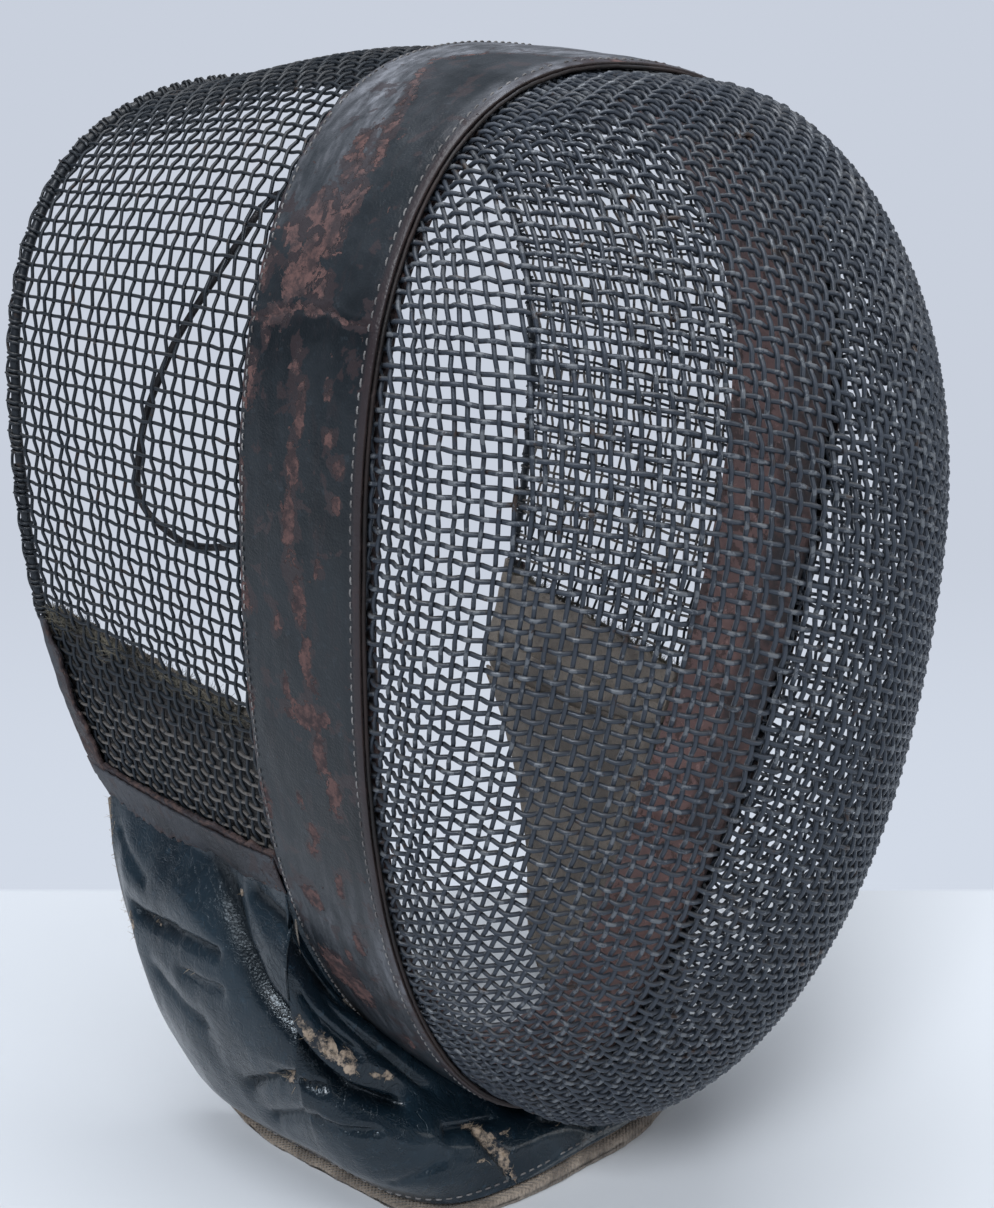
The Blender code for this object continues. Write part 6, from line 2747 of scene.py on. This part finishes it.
        shape = lay_sheet("bib_roll", 260, 16, face, [CANVAS], middle=NECK_MIDDLE)
        mend(shape.data, weld=True, cap=True)
        hand_over(shape, Slot.CANVAS, "bib_binding")

    def stitches(self) -> list[Strand]:
        """The row of stitches just above the bib's lower edge.

        Returns:
            The stitches; some are missing, as on worn leather.
        """
        random = np.random.default_rng(self.seed)
        alongs = np.linspace(-0.97, 0.97, 1600)
        downs = np.full_like(alongs, self.stitch_down)
        line = self.point(alongs, downs, np.zeros_like(alongs), dressed=True)
        lengths = np.concatenate([[0.0], np.cumsum(np.linalg.norm(np.diff(line, axis=0), axis=1))])
        made = []
        for index in range(int(lengths[-1] / self.stitch_pitch)):
            if random.random() < 0.12:
                continue
            spots = (index + 0.5) * self.stitch_pitch + np.array((-1.0, -0.6, 0.0, 0.6, 1.0)) * 1.0 * MM
            at = np.interp(spots, lengths, alongs)
            depth = np.array((0.35, -0.12, -0.22, -0.12, 0.35)) * MM
            made.append(Strand(self.point(at, np.full_like(at, self.stitch_down), depth, dressed=True),
                               girth=np.array((0.6, 1.0, 1.0, 1.0, 0.6))))
        return made

    def fibres(self) -> list[Strand]:
        """Short fibres that stand in the tears and along the frayed rear edges.

        Returns:
            The fibres.
        """
        random = np.random.default_rng(self.seed + 1)
        roots = []
        for tear in TEARS:
            count = int(tear.length * tear.width * 1.3)
            for _ in range(min(count, 45)):
                roots.append((tear.angle + random.normal(0.0, 0.4) * tear.length / self.along_unit,
                              tear.reach + random.normal(0.0, 0.4) * tear.width / self.down_unit))
        for _ in range(self.rear_fibres):
            side = -1.0 if random.random() < 0.5 else 1.0
            roots.append((side * (1.0 - abs(random.normal(0.0, 0.004))), random.uniform(0.02, 0.98)))
        places = np.clip(np.array(roots), (-1.0, 0.0), (1.0, 1.0))
        starts = self.point(places[:, 0], places[:, 1], np.zeros(len(places)), dressed=True)
        ways = self.outward(places[:, 0], places[:, 1])
        made = []
        for start, way in zip(starts, ways):
            lean = unit(way + random.normal(0.0, 0.9, 3))
            length = random.uniform(0.6, 2.0) * MM
            made.append(fibre(start - way * 0.2 * MM, lean, length, random.normal(0.0, 0.36, 3)))
        return made


@dataclass
class Strap:
    """The narrow springy strap: a loop sewn inside the band on the near side."""
    radius: float = 1.0 * MM
    points: int = 42
    route: tuple[tuple[float, float, float], ...] = (
        (-43.5, 0.62, 7.95), (-45.0, 0.86, 8.6), (-49.0, 1.14, 9.0), (-56.5, 1.20, 9.0),
        (-63.0, 1.26, 9.0), (-68.5, 1.32, 9.0), (-73.5, 1.38, 9.0), (-78.5, 1.43, 9.0),
        (-83.0, 1.48, 9.0), (-86.8, 1.51, 9.0), (-90.3, 1.535, 9.0), (-92.0, 1.51, 9.0),
        (-93.2, 1.45, 9.0), (-94.2, 1.33, 9.0), (-93.6, 1.18, 9.0), (-91.8, 0.98, 8.8), (-90.2, 0.62, 7.95),
    )

    def make(self) -> None:
        table = np.array(self.route)
        knots = SHAPE.under(np.radians(table[:, 0]), table[:, 1], table[:, 2] * MM)
        line = glide(np.arange(len(knots)), knots, np.linspace(0.0, len(knots) - 1.0, self.points))
        curve = begin_curve("head_strap_cord", self.radius, 2)
        add_line(curve, line)
        curve.materials.append(STRAP_LEATHER)
        piece = put_in_scene("head_strap_cord", curve)
        hand_over(piece, Slot.STRAP, "head_strap")


@dataclass(frozen=True)
class Lamp:
    """One soft square light: its place, what it is aimed at, its side in metres, its watts and colour."""
    name: str
    place: tuple[float, float, float]
    target: tuple[float, float, float]
    size: float
    power: float
    colour: Colour


@dataclass
class Studio:
    """The floor, the soft lights and the camera at the photograph's angle."""
    camera_place: tuple[float, float, float] = (-0.2957, -0.2863, 0.3069)
    looking: tuple[float, float, float] = (0.6628, 0.6883, -0.2950)
    sideways: tuple[float, float, float] = (0.7203, -0.6937, 0.0)
    upright: tuple[float, float, float] = (0.2046, 0.2125, 0.9555)
    lens: float = 44.5
    floor_size: float = 30.0
    sky: Colour = (0.80, 0.87, 1.0)
    sky_strength: float = 0.24
    lamps: tuple[Lamp, ...] = (
        Lamp("window", (-5.0, -2.9, 5.8), (0.0, 0.0, 0.15), 2.2, 430.0, (0.94, 0.965, 1.0)),
        Lamp("ceiling", (-0.2, -0.3, 3.4), (0.0, -0.1, 0.1), 2.2, 80.0, (0.95, 0.97, 1.0)),
        Lamp("room", (1.2, -1.9, 1.2), (0.0, 0.0, 0.15), 1.4, 14.0, (1.0, 0.985, 0.96)),)

    def make_camera(self) -> None:
        """Puts the camera in its place."""
        camera = bpy.data.cameras.new("camera")
        camera.lens = self.lens
        camera.sensor_width = 36.0
        camera.clip_start = 0.01
        camera.clip_end = 100.0
        holder = put_in_scene("camera", camera)
        axes = (self.sideways, self.upright, tuple(-value for value in self.looking))
        turned = Matrix(axes).transposed().to_4x4()
        holder.matrix_world = Matrix.Translation(self.camera_place) @ turned
        bpy.context.scene.camera = holder

    def make_floor(self) -> None:
        """The pale floor."""
        shape = bmesh.new()
        bmesh.ops.create_grid(shape, x_segments=8, y_segments=8, size=self.floor_size)
        add_object("floor", settle(shape, "floor"), [Tabletop("tabletop").build()])

    def add_light(self, lamp: Lamp) -> None:
        """Hangs one light and aims it.

        Args:
            lamp: the light.
        """
        light = bpy.data.lights.new(lamp.name, "AREA")
        light.size = lamp.size
        light.energy = lamp.power
        light.color = lamp.colour
        holder = put_in_scene(lamp.name, light)
        holder.location = lamp.place
        aim = Vector(lamp.target) - Vector(lamp.place)
        holder.rotation_euler = aim.to_track_quat("-Z", "Y").to_euler()

    def make_sky(self) -> None:
        """An even pale sky; the camera sees it as bright as the far floor."""
        world = bpy.data.worlds.new("sky")
        world.use_nodes = True
        net = Wiring(world.node_tree)
        lit = world.node_tree.nodes["Background"]
        net.fill(lit, {"Color": self.sky, "Strength": self.sky_strength})
        seen = net.add("ShaderNodeBackground")
        net.fill(seen, {"Color": Tabletop.farthest})
        mixer = net.add("ShaderNodeMixShader")
        looked_at = net.add("ShaderNodeLightPath").outputs["Is Camera Ray"]
        for socket, value in zip(mixer.inputs, (looked_at, lit.outputs[0], seen.outputs[0])):
            net.feed(socket, value)
        net.feed(world.node_tree.nodes["World Output"].inputs["Surface"], mixer.outputs[0])
        bpy.context.scene.world = world

    def make(self) -> None:
        """Sets the whole studio up."""
        self.make_camera()
        self.make_floor()
        self.make_sky()
        for lamp in self.lamps:
            self.add_light(lamp)
        bpy.context.scene.view_settings.view_transform = "Standard"


def main() -> None:
    """Builds the mask's pieces in order."""
    logging.basicConfig(level=logging.INFO, format="%(name)s: %(message)s")
    Studio().make()
    Strap().make()
    FrontGuard().make()
    hood = Hood()
    hood.make()
    RearEdge(hood).make()
    Band().make()
    InnerLeather().make()
    SideLeather().make()
    CheekFelt().make()
    Bib().make()
    bpy.context.view_layer.update()


if __name__ == "__main__":
    main()
